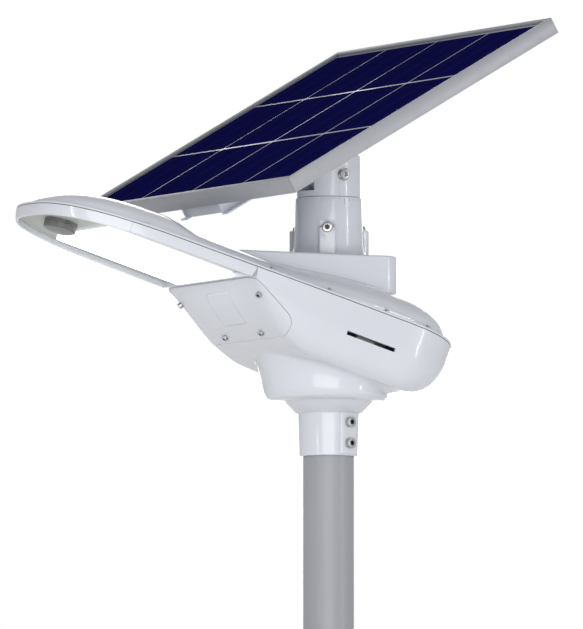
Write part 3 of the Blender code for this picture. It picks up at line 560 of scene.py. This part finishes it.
# Under side of the boss and cone down to the sleeve, then the bore from inside: radius and height
bossUnder = ((0.084, 0.3832), (0.072, 0.3819), (0.066, 0.3814))
sleeveOutside = ((0.049, 0.3644), (0.0462, 0.3639), (0.0455, 0.3625), (0.0438, 0.3008), (0.0430, 0.300))
sleeveInside = ((0.080, 0.3867), (0.065, 0.3852), (0.047, 0.3690), (0.0385, 0.3690), (0.0385, 0.3007), (0.0392, 0.300))
# Flats for the clamp bolts on both sides of the sleeve, and the slots in the housing's sides
pads = Sizes(
    turn=13.4, inner=0.0392, outer=0.0460, halfWidth=0.016, low=0.302, high=0.364, edge=0.0012,
    boltHeights=(0.3495, 0.3181), holeFrom=0.036, holeTo=0.050, hole=0.0043)
slots = Sizes(start=0.12, to=0.16, front=-0.0333, rear=0.0508, low=-0.0495, high=-0.0435)
# Parting of the battery cover, as (y, z) in the head's frame, and its clearance
parting = Sizes(
    front=-0.260, bottom=-0.1500, top=-0.0150, gap=0.0005, reach=0.170, coverReach=0.165, round=0.006,
    slope=((-0.1828, -0.0234), (-0.1269, -0.0516), (-0.1190, -0.0620), (-0.1155, -0.0819), (-0.1145, -0.1500)))
# Belly side and corner: inset at the sides, at the front and at the tail, and share of the depth
corner = ((0, 0, 0, 0), (0.003, 0, 0.0008, 0.20), (0.006, 0.0006, 0.0022, 0.40), (0.010, 0.0040, 0.0048, 0.58),
          (0.016, 0.0110, 0.0090, 0.75), (0.025, 0.0210, 0.0150, 0.89), (0.034, 0.0310, 0.0230, 0.97))


def bellyDepth(y):
    t = np.clip((y - head.divide) / (housing.deepFrom - head.divide), 0.0, 1.0)
    front = head.rimDepth + (housing.depth - head.rimDepth) * (1.0 - (1.0 - t) ** housing.swell)
    return front - housing.tailRise * np.maximum((y - housing.tailFrom) / housing.tailOver, 0.0) ** 1.6


def housingOutline():
    steps = housing.frontSteps
    sides = sidePoints(head.divide, head.tailStart, 7)
    return wholeLoop(np.vstack([acrossPoints(head.divide, steps), sides, tailPoints(8)]))


def bellyRows():
    loop = housingOutline()
    steps = housing.frontSteps
    atFront = loop[:, 1] <= head.divide + 1e-6
    atFront &= np.abs(loop[:, 0]) < halfWidth(head.divide) - 1e-6
    rear = np.clip((loop[:, 1] - head.tailStart) / head.tailLength, 0.0, 1.0) ** 2
    rows = []
    for side, front, tail, share in corner:
        ring = inwards(loop, np.where(atFront, front, side + (tail - side) * rear))
        narrowed = ring[steps, 0] / loop[steps, 0]
        ring[:steps, 0] *= narrowed
        ring[len(ring) - steps + 1:, 0] *= narrowed
        depth = head.rimDepth * min(1.0, share / 0.40) + (bellyDepth(ring[:, 1]) - head.rimDepth) * share
        rows.append(moved([atHeight(ring, -np.maximum(depth, head.seam))], headPlace)[0])
    centre = np.array((0.0, housing.bossShift))
    bossHeight = housing.bossTop - housing.bossFoot
    foot = housing.bossRadius + bossHeight * housing.bossDraft + housing.bossFlare
    last = rows[-1][:, :2]
    away = (last - centre) / np.linalg.norm(last - centre, axis=1)[:, None]
    sine, cosine = math.sin(math.radians(head.rise)), math.cos(math.radians(head.rise))
    for share in (0.45, 0.8, 1.0):
        flat = last + (centre + away * foot - last) * share
        y = flat[:, 1] / cosine
        for _ in range(4):
            depth = bellyDepth(y) * 0.985
            y = (flat[:, 1] + depth * sine) / cosine
        rows.append(atHeight(flat, head.seamHeight - y * sine - depth * cosine))
    ring = rows[-1]
    # Down the drafted side of the boss, with a fillet at both ends
    for share, extra in ((0.12, 0.002), (0.5, 0.0), (0.85, 0.0), (1.0, -0.003)):
        height = ring[:, 2] + (housing.bossFoot - 0.002 - ring[:, 2]) * share
        above = np.maximum(height - housing.bossFoot, 0.0)
        radius = housing.bossRadius + above * housing.bossDraft + extra
        rows.append(atHeight(centre + away * radius[:, None], height))
    return rows


def insideRows(rows, distance):
    moves = []
    for i, row in enumerate(rows):
        around = np.roll(row, -1, axis=0) - np.roll(row, 1, axis=0)
        down = rows[min(i + 1, len(rows) - 1)] - rows[max(i - 1, 0)]
        normal = np.cross(around, down)
        moves.append(row + normal / np.linalg.norm(normal, axis=1)[:, None] * distance)
    middle = len(rows[0]) // 2
    return insideRows(rows, -distance) if moves[3][middle, 1] > rows[3][middle, 1] else moves


def roundRow(like, radius, height):
    flat = like[:, :2] / np.linalg.norm(like[:, :2], axis=1)[:, None]
    return atHeight(flat * radius, height)


def housingSolid():
    coarse = bellyRows()
    finer, corners = housing.finer, (housing.frontSteps, -housing.frontSteps)
    inner = insideRows(coarse, housing.wall)
    outer = refine(coarse, 3, finer, corners)
    like = outer[0]
    under = [outer[-1]] + [roundRow(like, radius, height) for radius, height in bossUnder]
    outer += smoothRows(under, 3)[1:]
    outer += [roundRow(like, radius, height) for radius, height in sleeveOutside]
    inside = refine(inner, 2, finer, corners)[4:]
    inside += [roundRow(like, radius, height) for radius, height in sleeveInside]
    ledge = inwards(housingOutline(), housing.ledgeWidth)
    ledge = moved([atHeight(ledge, -depth) for depth in (head.seam, housing.ledgeDepth)], headPlace)
    ledge = refine(ledge, 1, finer, corners)
    return wrapRows(outer + inside[::-1] + ledge[::-1], closeRows=True)


def coverPrism(shift, reach):
    # What the battery cover takes out of the housing
    seam = [(parting.front, parting.top), (head.divide, parting.top), *parting.slope,
            (parting.front, parting.bottom)]
    rows = [np.array([(x, y + shift, z + shift) for y, z in seam]) for x in (-reach, reach)]
    prism = wrapRows(moved(rows, headPlace), capEnds=True)

    def atBend(middle, way):
        place = headPlace.inverted() @ middle
        return abs(way.x) > 0.9 and -0.14 < place.y < -0.10 and place.z > -0.09
    return bevelWhere(prism, atBend, parting.round, 4)


def roundedLoop(low, high, radius, sideSteps=12, arcSteps=6):
    points = []
    left, right, near, far = low[0] + radius, high[0] - radius, low[1] + radius, high[1] - radius
    centres = [(right, far), (left, far), (left, near), (right, near)]
    for i, centre in enumerate(centres):
        angle = 0.5 * math.pi * (i + np.arange(arcSteps + 1) / arcSteps)
        arc = arcPoints(angle) * radius + centre
        if len(points):
            points.append(np.linspace(points[-1][-1], arc[0], sideSteps + 1)[1:-1])
        points.append(arc)
    points.append(np.linspace(points[-1][-1], points[0][0], sideSteps + 1)[1:-1])
    return np.vstack(points)


# The rectangle marked on the slope of the battery cover, in the head's plan
coverPanel = Sizes(low=(-0.036, -0.1900), high=(0.036, -0.1440), radius=0.006, line=0.0020, depth=0.0009, clear=0.004)


def addCoverPanel(piece):
    # A fine groove that follows the slope of the cover
    deep, clear = -coverPanel.depth, coverPanel.clear
    outer = roundedLoop(coverPanel.low, coverPanel.high, coverPanel.radius)
    inner = inwards(outer, coverPanel.line)
    rows = []
    for loop, lift in ((outer, clear), (outer, deep), (inner, deep), (inner, clear)):
        hits = [piece.ray_cast(headPlace @ Vector((x, y, -0.2)), headUp)[1] for x, y in loop]
        rows.append(np.array([hit - headUp * lift for hit in hits]))
    combine(piece, wrapRows(rows, closeRows=True))


def addPad(solid, side):
    turn = math.radians(pads.turn)
    way = Vector((side * math.cos(turn), math.sin(turn), 0.0))
    place = Matrix.Rotation(math.atan2(way.y, way.x), 4, "Z")
    width = pads.halfWidth
    pad = addBox((pads.inner, -width, pads.low), (pads.outer, width, pads.high), place)
    combine(solid, roundEdges(pad, pads.edge, 3), "UNION")
    for height in pads.boltHeights:
        lift = Vector((0, 0, height))
        combine(solid, addRod(way * pads.holeFrom + lift, way * pads.holeTo + lift, pads.hole, 32))


def addSlot(solid, side):
    ends = sorted((side * slots.start, side * slots.to))
    low, high = (ends[0], slots.front, slots.low), (ends[1], slots.rear, slots.high)
    combine(solid, addBox(low, high, headPlace))


def makeHousing():
    solid = housingSolid()
    coverPiece = copyOf(solid)
    combine(solid, coverPrism(0.0, parting.reach))
    for side in (1, -1):
        addPad(solid, side)
        addSlot(solid, side)
    for place in flangeScrewPlaces():
        combine(solid, addRod(place - headUp * 0.0075, place + headUp * 0.004, cover.screwHole, 20))
    combine(coverPiece, coverPrism(-parting.gap, parting.coverReach), "INTERSECT")
    addCoverPanel(coverPiece)
    for node in screws["cover"].nodes:
        seat, way = screwPlace(node)
        combine(coverPiece, addRod(seat - way * 0.008, seat + way * 0.004, 0.0026, 24))
    finishCasting(solid, "lowerHousing", "lower_housing")
    return finishCasting(coverPiece, "batteryCover", "battery_cover")


# Screws: modelled once for each size, then stood on the seats of the solids
screws = {
    "flange": Sizes(head=0.0036, height=0.0040, shank=0.0014, length=0.0093, hex=0.0019, body="lamp",
        nodes=["flange_screw_%d" % i for i in range(1, 9)]),
    "cover": Sizes(head=0.0046, height=0.0042, shank=0.0021, length=0.0098, hex=0.0024, body="lamp",
        nodes=["cover_screw_" + name for name in ("upper_near", "upper_far", "lower_near", "lower_far")]),
    "sleeve": Sizes(head=0.0078, height=0.0068, shank=0.0037, length=0.0078, hex=0.0041, body="lamp",
        nodes=["sleeve_bolt_%s_%d" % (side, i) for side in ("near", "far") for i in (1, 2)]),
    "turret": Sizes(head=0.0077, height=0.0066, shank=0.0037, length=0.0113, hex=0.0041, body="lamp",
        nodes=["turret_screw_%d" % i for i in (1, 2, 3)]),
    "arm": Sizes(head=0.0055, height=0.0050, shank=0.0029, length=0.0108, hex=0.0029, body="panel",
        nodes=["arm_bolt_%d" % i for i in (1, 2, 3, 4)]),
}


def screwPlace(node):
    # Seat and direction of a screw, read from its solid
    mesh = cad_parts[node].data
    points = np.unique(np.round([v.co[:] for v in mesh.vertices], 6), axis=0)
    centre = points.mean(0)
    values, ways = np.linalg.eigh(np.cov((points - centre).T))
    way = ways[:, 2] if values[1] - values[0] < values[2] - values[1] else ways[:, 0]
    along = (points - centre) @ way
    away = np.linalg.norm(points - centre - np.outer(along, way), axis=1)
    wide = along[away > away.max() * 0.98]
    if wide.mean() < 0:
        way, wide = -way, -wide
    return Vector(centre + way * wide.min()), Vector(way)


def screwModel(size):
    top = size.height
    body = addRod((0, 0, 0), (0, 0, top), size.head, 40)
    bevelWhere(body, lambda m, d: m.z > top - 1e-6 and abs(d.z) < 0.1, size.head * 0.12, 3)
    combine(body, addRod((0, 0, top * 0.42), (0, 0, top * 1.2), size.hex, 6))
    return combine(body, addRod((0, 0, -size.length), (0, 0, top * 0.2), size.shank, 24), "UNION")


def pieceName(node):
    words = node.split("_")
    return words[0] + "".join(word.capitalize() for word in words[1:])


def makeScrews():
    for size in screws.values():
        model = screwModel(size)
        low, high = size.height * 0.4, size.height * 0.98
        deep = [f.index for f in model.data.polygons if f.center.xy.length < size.hex and low < f.center.z < high]
        for node in size.nodes:
            seat, way = screwPlace(node)
            piece = copyOf(model)
            piece.data.transform(Matrix.Translation(seat) @ way.to_track_quat("Z", "Y").to_matrix().to_4x4())
            finishPiece(piece, pieceName(node), finishes["steel"], size.body, [node])
            # Painted shade: the socket faces take a dark material that stands in for the shadow inside them
            piece.data.materials.append(finishes["grime"])
            for index in deep:
                piece.data.polygons[index].material_index = 1
        bpy.data.objects.remove(model, do_unlink=True)


# Bezel, ceiling plate, light window and sensor
bezel = Sizes(
    halfGap=0.0002,
    section=((0.0, -0.0012), (0.0006, -0.0060), (0.0015, -0.0100), (0.0030, -0.0150), (0.0036, -0.0162),
        (0.0046, -0.0167), (0.0070, -0.0167), (0.0076, -0.0161), (0.0078, -0.0140), (0.0078, -0.0057),
        (0.0145, -0.0057), (0.0145, -0.0012)))
light = Sizes(
    halfWidth=0.0875, rear=-0.2135, front=-0.4265, top=-0.0091, glow=1.5, corner=0.004, edge=0.0015, wall=0.0025,
    well=-0.0140, plateInset=0.0081, plateLow=-0.0088, plateHigh=-0.0060)
sensor = Sizes(
    y=-0.4654, sides=96, top=-0.0091, bottom=-0.0215, radius=0.0243, topRadius=0.0250, edge=0.0012, tabOut=0.0235,
    tabHalf=0.0035, tabWide=0.004, tabLow=-0.0165, tabHigh=-0.0095, tabEdge=0.0007, grooveLow=-0.0140,
    grooveHigh=-0.0132, grooveRadius=0.0241,
    dome=((0.0001, -0.0262), (0.006, -0.0261), (0.012, -0.0256), (0.017, -0.0246), (0.0205, -0.0232),
        (0.0225, -0.0218)))


def makeBezel():
    loop = bezelOutline()
    ring = wrapRows([atHeight(inwards(loop, reach), depth) for reach, depth in bezel.section], closeRows=True)
    for name, node, keepFront in (("bezelNose", "bezel_nose", True), ("bezelFrame", "bezel_frame", False)):
        piece = copyOf(ring)
        editAll(piece)
        cut = head.noseJoint + (-bezel.halfGap if keepFront else bezel.halfGap)
        bpy.ops.mesh.bisect(plane_co=(0, cut, 0), plane_no=(0, 1, 0), use_fill=True,
                            clear_outer=keepFront, clear_inner=not keepFront)
        leaveEdit()
        piece.data.transform(headPlace)
        finishCasting(piece, name, node)
    bpy.data.objects.remove(ring, do_unlink=True)


def glowMaterial():
    # Frosted window lit from behind: a white that falls off a little to its edges, over faint rows of lamps
    paint = Paint("litWindow", Roughness=0.35, Emission_Strength=light.glow)
    local = paint.turned(head.seamHeight, -head.rise)
    x, y, _ = paint.axes(local)
    edgeX = paint.ramp(light.halfWidth - x.calc("ABSOLUTE"), 0.0, 0.020)
    edgeY = paint.ramp(y - light.front, 0.0, 0.020) * paint.ramp(light.rear - y, 0.0, 0.020)
    dots = paint.node("ShaderNodeTexVoronoi", {}, {"Vector": local, "Scale": 62.0, "Randomness": 0.0})
    glow = 0.80 + edgeX * edgeY * 0.16 + (1.0 - paint.ramp(dots, 0.1, 0.6)) * 0.04
    paint.feed("Base Color", paint.mix(glow, (0.80, 0.82, 0.84, 1), (0.93, 0.94, 0.95, 1)))
    paint.feed("Emission Color", paint.mix(glow, (0.55, 0.58, 0.62, 1), (1.0, 1.0, 1.0, 1)))
    frost = paint.noise(900.0, 2.0)
    paint.bump(frost, 0.15, 0.0002)
    return paint.material


def makeLight():
    loop = inwards(bezelOutline(), light.plateInset)
    rows = [atHeight(loop, z) for z in (light.plateLow, light.plateHigh)]
    plate = wrapRows(moved(rows, headPlace), capEnds=True)
    finishPiece(plate, "lightPlate", finishes["plate"], "lamp", ["light_plate"])

    width, front, rear, depth = light.halfWidth, light.front, light.rear, head.rimDepth
    window = addBox((-width, front, -depth), (width, rear, light.top))
    bevelWhere(window, lambda m, d: abs(d.z) > 0.9, light.corner, 5)
    bevelWhere(window, lambda m, d: m.z < -depth + 1e-5, light.edge, 3)
    wall = light.wall
    well = addBox((-width + wall, front + wall, light.well), (width - wall, rear - wall, light.top + 0.002))
    combine(window, well)
    window.data.transform(headPlace)
    finishPiece(window, "lightWindow", glowMaterial(), "lamp", ["led_lens"])


def makeSensor():
    y, sides, low = sensor.y, sensor.sides, sensor.bottom
    base = addRod((0, y, low), (0, y, sensor.top), sensor.radius, sides, sensor.topRadius)
    bevelWhere(base, lambda m, d: m.z < low + 0.0001 and abs(d.z) < 0.1, sensor.edge, 3)
    half, wide = sensor.tabHalf, sensor.tabWide
    for x in (sensor.tabOut, -sensor.tabOut):
        tab = addBox((x - half, y - wide, sensor.tabLow), (x + half, y + wide, sensor.tabHigh))
        combine(base, roundEdges(tab, sensor.tabEdge), "UNION")
    low, high, spare = sensor.grooveLow, sensor.grooveHigh, 0.0005
    groove = addRod((0, y, low), (0, y, high), 0.030, sides)
    combine(groove, addRod((0, y, low - spare), (0, y, high + spare), sensor.grooveRadius, sides))
    combine(base, groove)
    base.data.transform(headPlace)
    finishPiece(base, "sensorBase", finishes["sensor"], "lamp", ["sensor_base"])
    rows = [atHeight(unitRing(sides) * radius + (0, y), z) for radius, z in sensor.dome]
    dome = wrapRows(moved(rows, headPlace), capEnds=True)
    finishPiece(dome, "sensorLens", finishes["sensorDome"], "lamp", ["sensor_lens"])


# Turret: graduated base, turning head with its fork
turret = Sizes(joint=0.686, sides=144)
ears = Sizes(
    angles=(-150.0, -30.0, 90.0), low=0.5973, top=0.639, inner=0.0460, outer=0.0620, halfWidth=0.0122, edge=0.0022,
    recess=((0.0494, -0.0118, -0.0006), (0.0560, 0.0118, 0.0110)), recessEdge=0.0010,
    pocket=((0.0520, 0.0800, 0.0083), (0.0400, 0.0600, 0.0043)))
marks = Sizes(count=36, quarter=9, long=0.0095, short=0.0048, top=0.6838, half=0.0006, start=0.0490, to=0.0520)
fork = Sizes(
    slotHalf=0.0277, slotFront=-0.0600, slotRear=0.0300, slotLow=0.6950, slope=32.0, slopeFrom=0.0300, bolt=0.0054,
    seat=0.0098, seatFrom=0.0455, ribTurn=-7.0, ribHalf=0.0011, ribEdge=0.0006)
# Profiles as radius and height
baseProfile = ((0.0582, 0.5973), (0.0571, 0.5990), (0.0556, 0.6012), (0.0535, 0.6065), (0.0523, 0.6110),
               (0.0515, 0.6160), (0.0506, 0.6500), (0.0499, 0.6835), (0.0495, 0.6851), (0.0490, 0.6855),
               (0.0405, 0.6855), (0.0405, 0.6640), (0.0440, 0.6640), (0.0440, 0.5973))
headProfile = ((0.0120, 0.6643), (0.0400, 0.6643), (0.0400, 0.6860), (0.0474, 0.6860), (0.0481, 0.6867),
               (0.0481, 0.7462), (0.0478, 0.7480), (0.0470, 0.7493), (0.0455, 0.7500), (0.0120, 0.7500))
poleProfile = ((0.0376, 0.0), (0.038, 0.0004), (0.038, 0.3616), (0.0376, 0.362), (0.0354, 0.362), (0.035, 0.3616),
               (0.035, 0.0004), (0.0354, 0.0))


def turnedPiece(profile):
    ring = unitRing(turret.sides)
    return wrapRows([atHeight(ring * radius, z) for radius, z in profile], closeRows=True)


def addEar(base, angle):
    turn = Matrix.Rotation(math.radians(angle), 4, "Z")
    width, lift = ears.halfWidth, Vector((0, 0, ears.top))
    ear = addBox((ears.inner, -width, ears.low), (ears.outer, width, ears.top), turn)
    bevelWhere(ear, lambda m, d: m.xy.length > 0.055, ears.edge, 3)
    combine(base, ear, "UNION")
    low, high = (Vector(corner) + lift for corner in ears.recess)
    combine(base, roundEdges(addBox(low, high, turn), ears.recessEdge))
    for start, end, radius in ears.pocket:
        combine(base, addRod(turn @ Vector((start, 0, 0)) + lift, turn @ Vector((end, 0, 0)) + lift, radius, 40))


def makeTurretBase():
    base = turnedPiece(baseProfile)
    for angle in ears.angles:
        addEar(base, angle)
    # Degree marks cut under the joint, longer at each quarter
    cutters = []
    for i in range(marks.count):
        turn = Matrix.Rotation(2.0 * math.pi * i / marks.count, 4, "Z")
        low = marks.top - (marks.short if i % marks.quarter else marks.long)
        cutters.append(addBox((marks.start, -marks.half, low), (marks.to, marks.half, marks.top), turn))
    combine(base, joinPieces(cutters))
    return finishCasting(base, "turretBase", "turret_base", angle=25.0)


def makeTurretHead():
    piece = turnedPiece(headProfile)
    half, turn = fork.ribHalf, Matrix.Rotation(math.radians(fork.ribTurn), 4, "Z")
    rib = addBox((0.0470, -half, turret.joint + 0.0004), (0.0489, half, panel.hinge - 0.006), turn)
    combine(piece, roundEdges(rib, fork.ribEdge), "UNION")
    half = fork.slotHalf
    combine(piece, addBox((-half, fork.slotFront, fork.slotLow), (half, fork.slotRear, 0.8000)))
    lean = Matrix.Translation(hingePoint) @ Matrix.Rotation(math.radians(fork.slope), 4, "X")
    combine(piece, addBox((-0.07, -0.10, fork.slopeFrom), (0.07, 0.10, 0.0900), lean))
    combine(piece, addRod(hingePoint - sideways * 0.06, hingePoint + sideways * 0.06, fork.bolt, 40))
    for way in (sideways, -sideways):
        combine(piece, addRod(hingePoint + way * fork.seatFrom, hingePoint + way * 0.0600, fork.seat, 56))
    return finishCasting(piece, "turretHead", "turret_head", "turret", 25.0)


# Tilt bolt and nut: each step as start and end along the hinge, radius and number of sides
hingeBolt = {"flange": (0.0461, 0.0475, 0.0088, 48), "head": (0.0470, 0.0537, 0.0075, 48), "headEdge": 0.0007,
             "socket": (0.0500, 0.0560, 0.0044, 6), "shank": (-0.0589, 0.0465, 0.0050, 40), "tipEdge": 0.0008,
             "nut": (-0.0458, -0.0528, 0.0088, 6), "nutEdge": 0.0006, "nutHole": (-0.044, -0.055, 0.0052, 40)}


def hingeRod(name):
    start, end, radius, sides = hingeBolt[name]
    return addRod(hingePoint + sideways * start, hingePoint + sideways * end, radius, sides)


def makeHingeBolt():
    bolt = combine(hingeRod("flange"), hingeRod("head"), "UNION")
    bevelWhere(bolt, lambda m, d: m.x > 0.0536, hingeBolt["headEdge"], 2)
    combine(bolt, hingeRod("socket"))
    combine(bolt, hingeRod("shank"), "UNION")
    bevelWhere(bolt, lambda m, d: m.x < -0.0588, hingeBolt["tipEdge"], 2)
    finishPiece(bolt, "tiltBolt", finishes["steel"], "panel", ["tilt_bolt"])
    nut = roundEdges(hingeRod("nut"), hingeBolt["nutEdge"])
    combine(nut, hingeRod("nutHole"))
    finishPiece(nut, "tiltNut", finishes["steel"], "panel", ["tilt_nut"])


# Panel: cells under glass in their frame
cells = Sizes(
    pitch=0.1610, size=0.1560, across=4, up=3, round=0.003, low=0.08893, high=0.08915, finger=0.0021, bars=3.0)


def cellMaterial():
    # Deep blue cells: crystal grain, thin fingers and three bus bars
    paint = Paint("solarCells", Metallic=0.0, IOR=1.12, Specular_IOR_Level=0.0)
    local = paint.turned(panel.hinge, panel.tilt)
    x, y, _ = paint.axes(local)
    grain = paint.node("ShaderNodeTexVoronoi", {}, {"Vector": local, "Scale": 120.0}, "Color")
    shade = paint.axes(grain)[0]
    colour = paint.mix(shade * 0.6, (0.0042, 0.0042, 0.060, 1), (0.0062, 0.0062, 0.078, 1))
    finger = paint.ramp(((y / cells.finger).calc("FRACT") - 0.5).calc("ABSOLUTE"), 0.44, 0.49)
    across = ((x + cells.pitch * 2) / cells.pitch * cells.bars).calc("FRACT")
    bar = paint.ramp((across - 0.5).calc("ABSOLUTE") * -1.0, -0.014, -0.008)
    colour = paint.mix(finger * 0.10, colour, (0.10, 0.10, 0.16, 1))
    colour = paint.mix(bar * 0.10, colour, (0.20, 0.20, 0.28, 1))
    paint.feed("Base Color", colour)
    paint.feed("Roughness", 0.28 + shade * 0.06 + finger * 0.05)
    paint.bump(bar + shade * 0.2, 0.03, 0.0001)
    return paint.material


def backMaterial():
    # White backsheet seen as pale lines between the cells, and from below as a plain sheet
    paint = Paint("panelSheet", Metallic=0.0, Coat_Weight=0.3, Coat_Roughness=0.05)
    cloud = paint.noise(14.0, 4.0)
    weave = paint.noise(500.0, 2.0, stretch=(1.0, 0.2, 1.0))
    paint.feed("Base Color", paint.mix(cloud * 0.7 + weave * 0.2, (0.34, 0.35, 0.40, 1), (0.28, 0.29, 0.34, 1)))
    paint.feed("Roughness", 0.32 + cloud * 0.08)
    paint.bump(weave, 0.06, 0.0001)
    return paint.material


def makeCells():
    plates = []
    half = cells.size / 2
    for i in range(cells.across):
        for j in range(cells.up):
            x = (i - (cells.across - 1) / 2) * cells.pitch
            y = panel.centre + (j - (cells.up - 1) / 2) * cells.pitch
            plate = addBox((x - half, y - half, cells.low), (x + half, y + half, cells.high), tiltPlace)
            plates.append(bevelWhere(plate, lambda m, d: abs(d.dot(panelUp)) > 0.9, cells.round, 2))
    finishPiece(joinPieces(plates), "solarCells", cellMaterial(), "panel")


# Pieces that keep the shape of their solid, with softer edges: material, slot, width of the softening
softened = {"frame_rail_" + end: ("rail", "anodised_frame", 0.0004) for end in ("near", "far", "high", "low")}
for node in ("panel_arm_near", "panel_arm_far", "cross_rail_low", "cross_rail_high"):
    softened[node] = ("channel", "white_channel", 0.0006)
softened["hinge_knuckle"] = ("white", "white_casting", 0.0008)
softened["junction_box"] = ("black", "black_plastic", 0.0006)


def makePanel():
    sheet = softCopy("panel_laminate", 0.0004)
    finishPiece(sheet, "panelLaminate", backMaterial(), "panel", ["panel_laminate"])
    makeCells()
    for node, (finish, slot, width) in softened.items():
        finishPiece(softCopy(node, width), pieceName(node), finishes[finish], "panel", [node])


# Pole and the pieces that keep their solids
def makePole():
    piece = turnedPiece(poleProfile)
    return finishPiece(piece, "poleTop", finishes["pole"], "lamp", ["pole_top"])


def keepSolids():
    wrap = moulded("batteryWrap", (0.02, 0.07, 0.22, 1), (0.03, 0.10, 0.30, 1), 0.30, 260.0, 0.12)
    board = moulded("ledBoard", (0.72, 0.73, 0.73, 1), (0.62, 0.63, 0.63, 1), 0.45, 600.0, 0.1)
    kept = {"housing_gasket": finishes["rubber"], "led_board": board, "battery_pack": wrap,
            "charge_controller": finishes["black"]}
    for node in ("heat_sink", "battery_bracket", "slot_latch_near", "slot_latch_far", "turret_ring"):
        kept[node] = finishes["aluminium"]
    for node, material in kept.items():
        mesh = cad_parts[node].data
        mesh.materials.clear()
        mesh.materials.append(material)


makePole()
makeUpperCover()
print("upper cover done")
makeHousing()
print("lower housing and battery cover done")
makeBezel()
makeLight()
makeSensor()
print("bezel, light and sensor done")
makeTurretBase()
makeTurretHead()
makeHingeBolt()
print("turret done")
makePanel()
makeScrews()
keepSolids()
print("panel and screws done")

# Studio: pale floor, soft light and the camera
studio = Sizes(
    floorHeight=-0.65, floorRadius=1.4, backdrop=1.0,
    world=((0.0, 0.74), (0.38, 0.74), (0.44, 0.58), (0.62, 0.58), (1.0, 0.40)), blueTint=1.005)
cameraSet = Sizes(
    azimuth=62.0, elevation=-4.22, target=(-0.026, -0.0488, 0.5125), height=0.9372, lens=1200.0, sensor=36.0)
lights = {
    "softFront": Sizes(place=(2.55, -1.36, 0.25), aim=0.55, size=(2.4, 2.4), energy=42),
    "softBack": Sizes(place=(-2.4, 1.5, 1.0), aim=0.55, size=(2.0, 2.0), energy=26),
    "stripRight": Sizes(place=(1.9, 1.5, 0.7), aim=0.55, size=(0.06, 2.0), energy=7),
    "stripLeft": Sizes(place=(0.9, -2.5, 0.7), aim=0.55, size=(0.06, 2.0), energy=6),
    "softTop": Sizes(place=(0.6, -0.4, 2.6), aim=0.6, size=(1.6, 1.6), energy=3),
}


def makeFloor():
    fresh()
    bpy.ops.mesh.primitive_circle_add(vertices=96, radius=studio.floorRadius, fill_type="NGON",
                                      location=(0, 0, studio.floorHeight))
    floor = bpy.context.object
    floor.name = "paleFloor"
    paint = Paint("floorPaint", Roughness=0.8)
    paint.feed("Base Color", paint.mix(paint.noise(6.0), (0.93, 0.93, 0.92, 1), (0.96, 0.96, 0.95, 1)))
    floor.data.materials.append(paint.material)


def makeWorld():
    world = bpy.data.worlds.new("studioWorld")
    bpy.context.scene.world = world
    world.use_nodes = True
    tree = world.node_tree
    add, link = tree.nodes.new, tree.links.new
    background = tree.nodes["Background"]
    place = add("ShaderNodeTexCoord")
    split = add("ShaderNodeSeparateXYZ")
    ramp = add("ShaderNodeValToRGB")
    shift = add("ShaderNodeMapRange")
    shift.inputs["From Min"].default_value = -1.0
    link(place.outputs["Generated"], split.inputs[0])
    link(split.outputs["Z"], shift.inputs["Value"])
    link(shift.outputs[0], ramp.inputs[0])
    while len(ramp.color_ramp.elements) < len(studio.world):
        ramp.color_ramp.elements.new(0.5)
    for element, (position, level) in zip(ramp.color_ramp.elements, studio.world):
        element.position, element.color = position, (level, level, level * studio.blueTint, 1)
    link(ramp.outputs[0], background.inputs["Color"])
    # The backdrop itself stays plain white; only the light it gives is graded
    white = add("ShaderNodeBackground")
    white.inputs["Color"].default_value = (studio.backdrop,) * 3 + (1,)
    path = add("ShaderNodeLightPath")
    blend = add("ShaderNodeMixShader")
    link(path.outputs["Is Camera Ray"], blend.inputs[0])
    link(background.outputs[0], blend.inputs[1])
    link(white.outputs[0], blend.inputs[2])
    link(blend.outputs[0], tree.nodes["World Output"].inputs["Surface"])


def makeLights():
    for name, values in lights.items():
        data = bpy.data.lights.new(name, "AREA")
        data.shape, data.energy = "RECTANGLE", values.energy
        data.size, data.size_y = values.size
        lamp = addObject(name, data)
        lamp.location = values.place
        away = Vector(values.place) - Vector((0, 0, values.aim))
        lamp.rotation_euler = away.to_track_quat("Z", "Y").to_euler()


def makeCamera():
    data = bpy.data.cameras.new("lampCamera")
    camera = addObject("lampCamera", data)
    data.lens, data.sensor_fit, data.sensor_width = cameraSet.lens, "VERTICAL", cameraSet.sensor
    data.sensor_height = cameraSet.sensor
    azimuth, elevation = math.radians(cameraSet.azimuth), math.radians(cameraSet.elevation)
    flat = math.cos(elevation)
    way = Vector((math.sin(azimuth) * flat, -math.cos(azimuth) * flat, math.sin(elevation)))
    distance = cameraSet.height * cameraSet.lens / cameraSet.sensor
    camera.location = Vector(cameraSet.target) + way * distance
    camera.rotation_euler = way.to_track_quat("Z", "Y").to_euler()
    data.clip_start, data.clip_end = 1.0, distance * 2
    bpy.context.scene.camera = camera


makeFloor()
makeWorld()
makeLights()
makeCamera()
bpy.context.scene.view_settings.view_transform = "Standard"
print("studio ready")

bpy.context.view_layer.update()
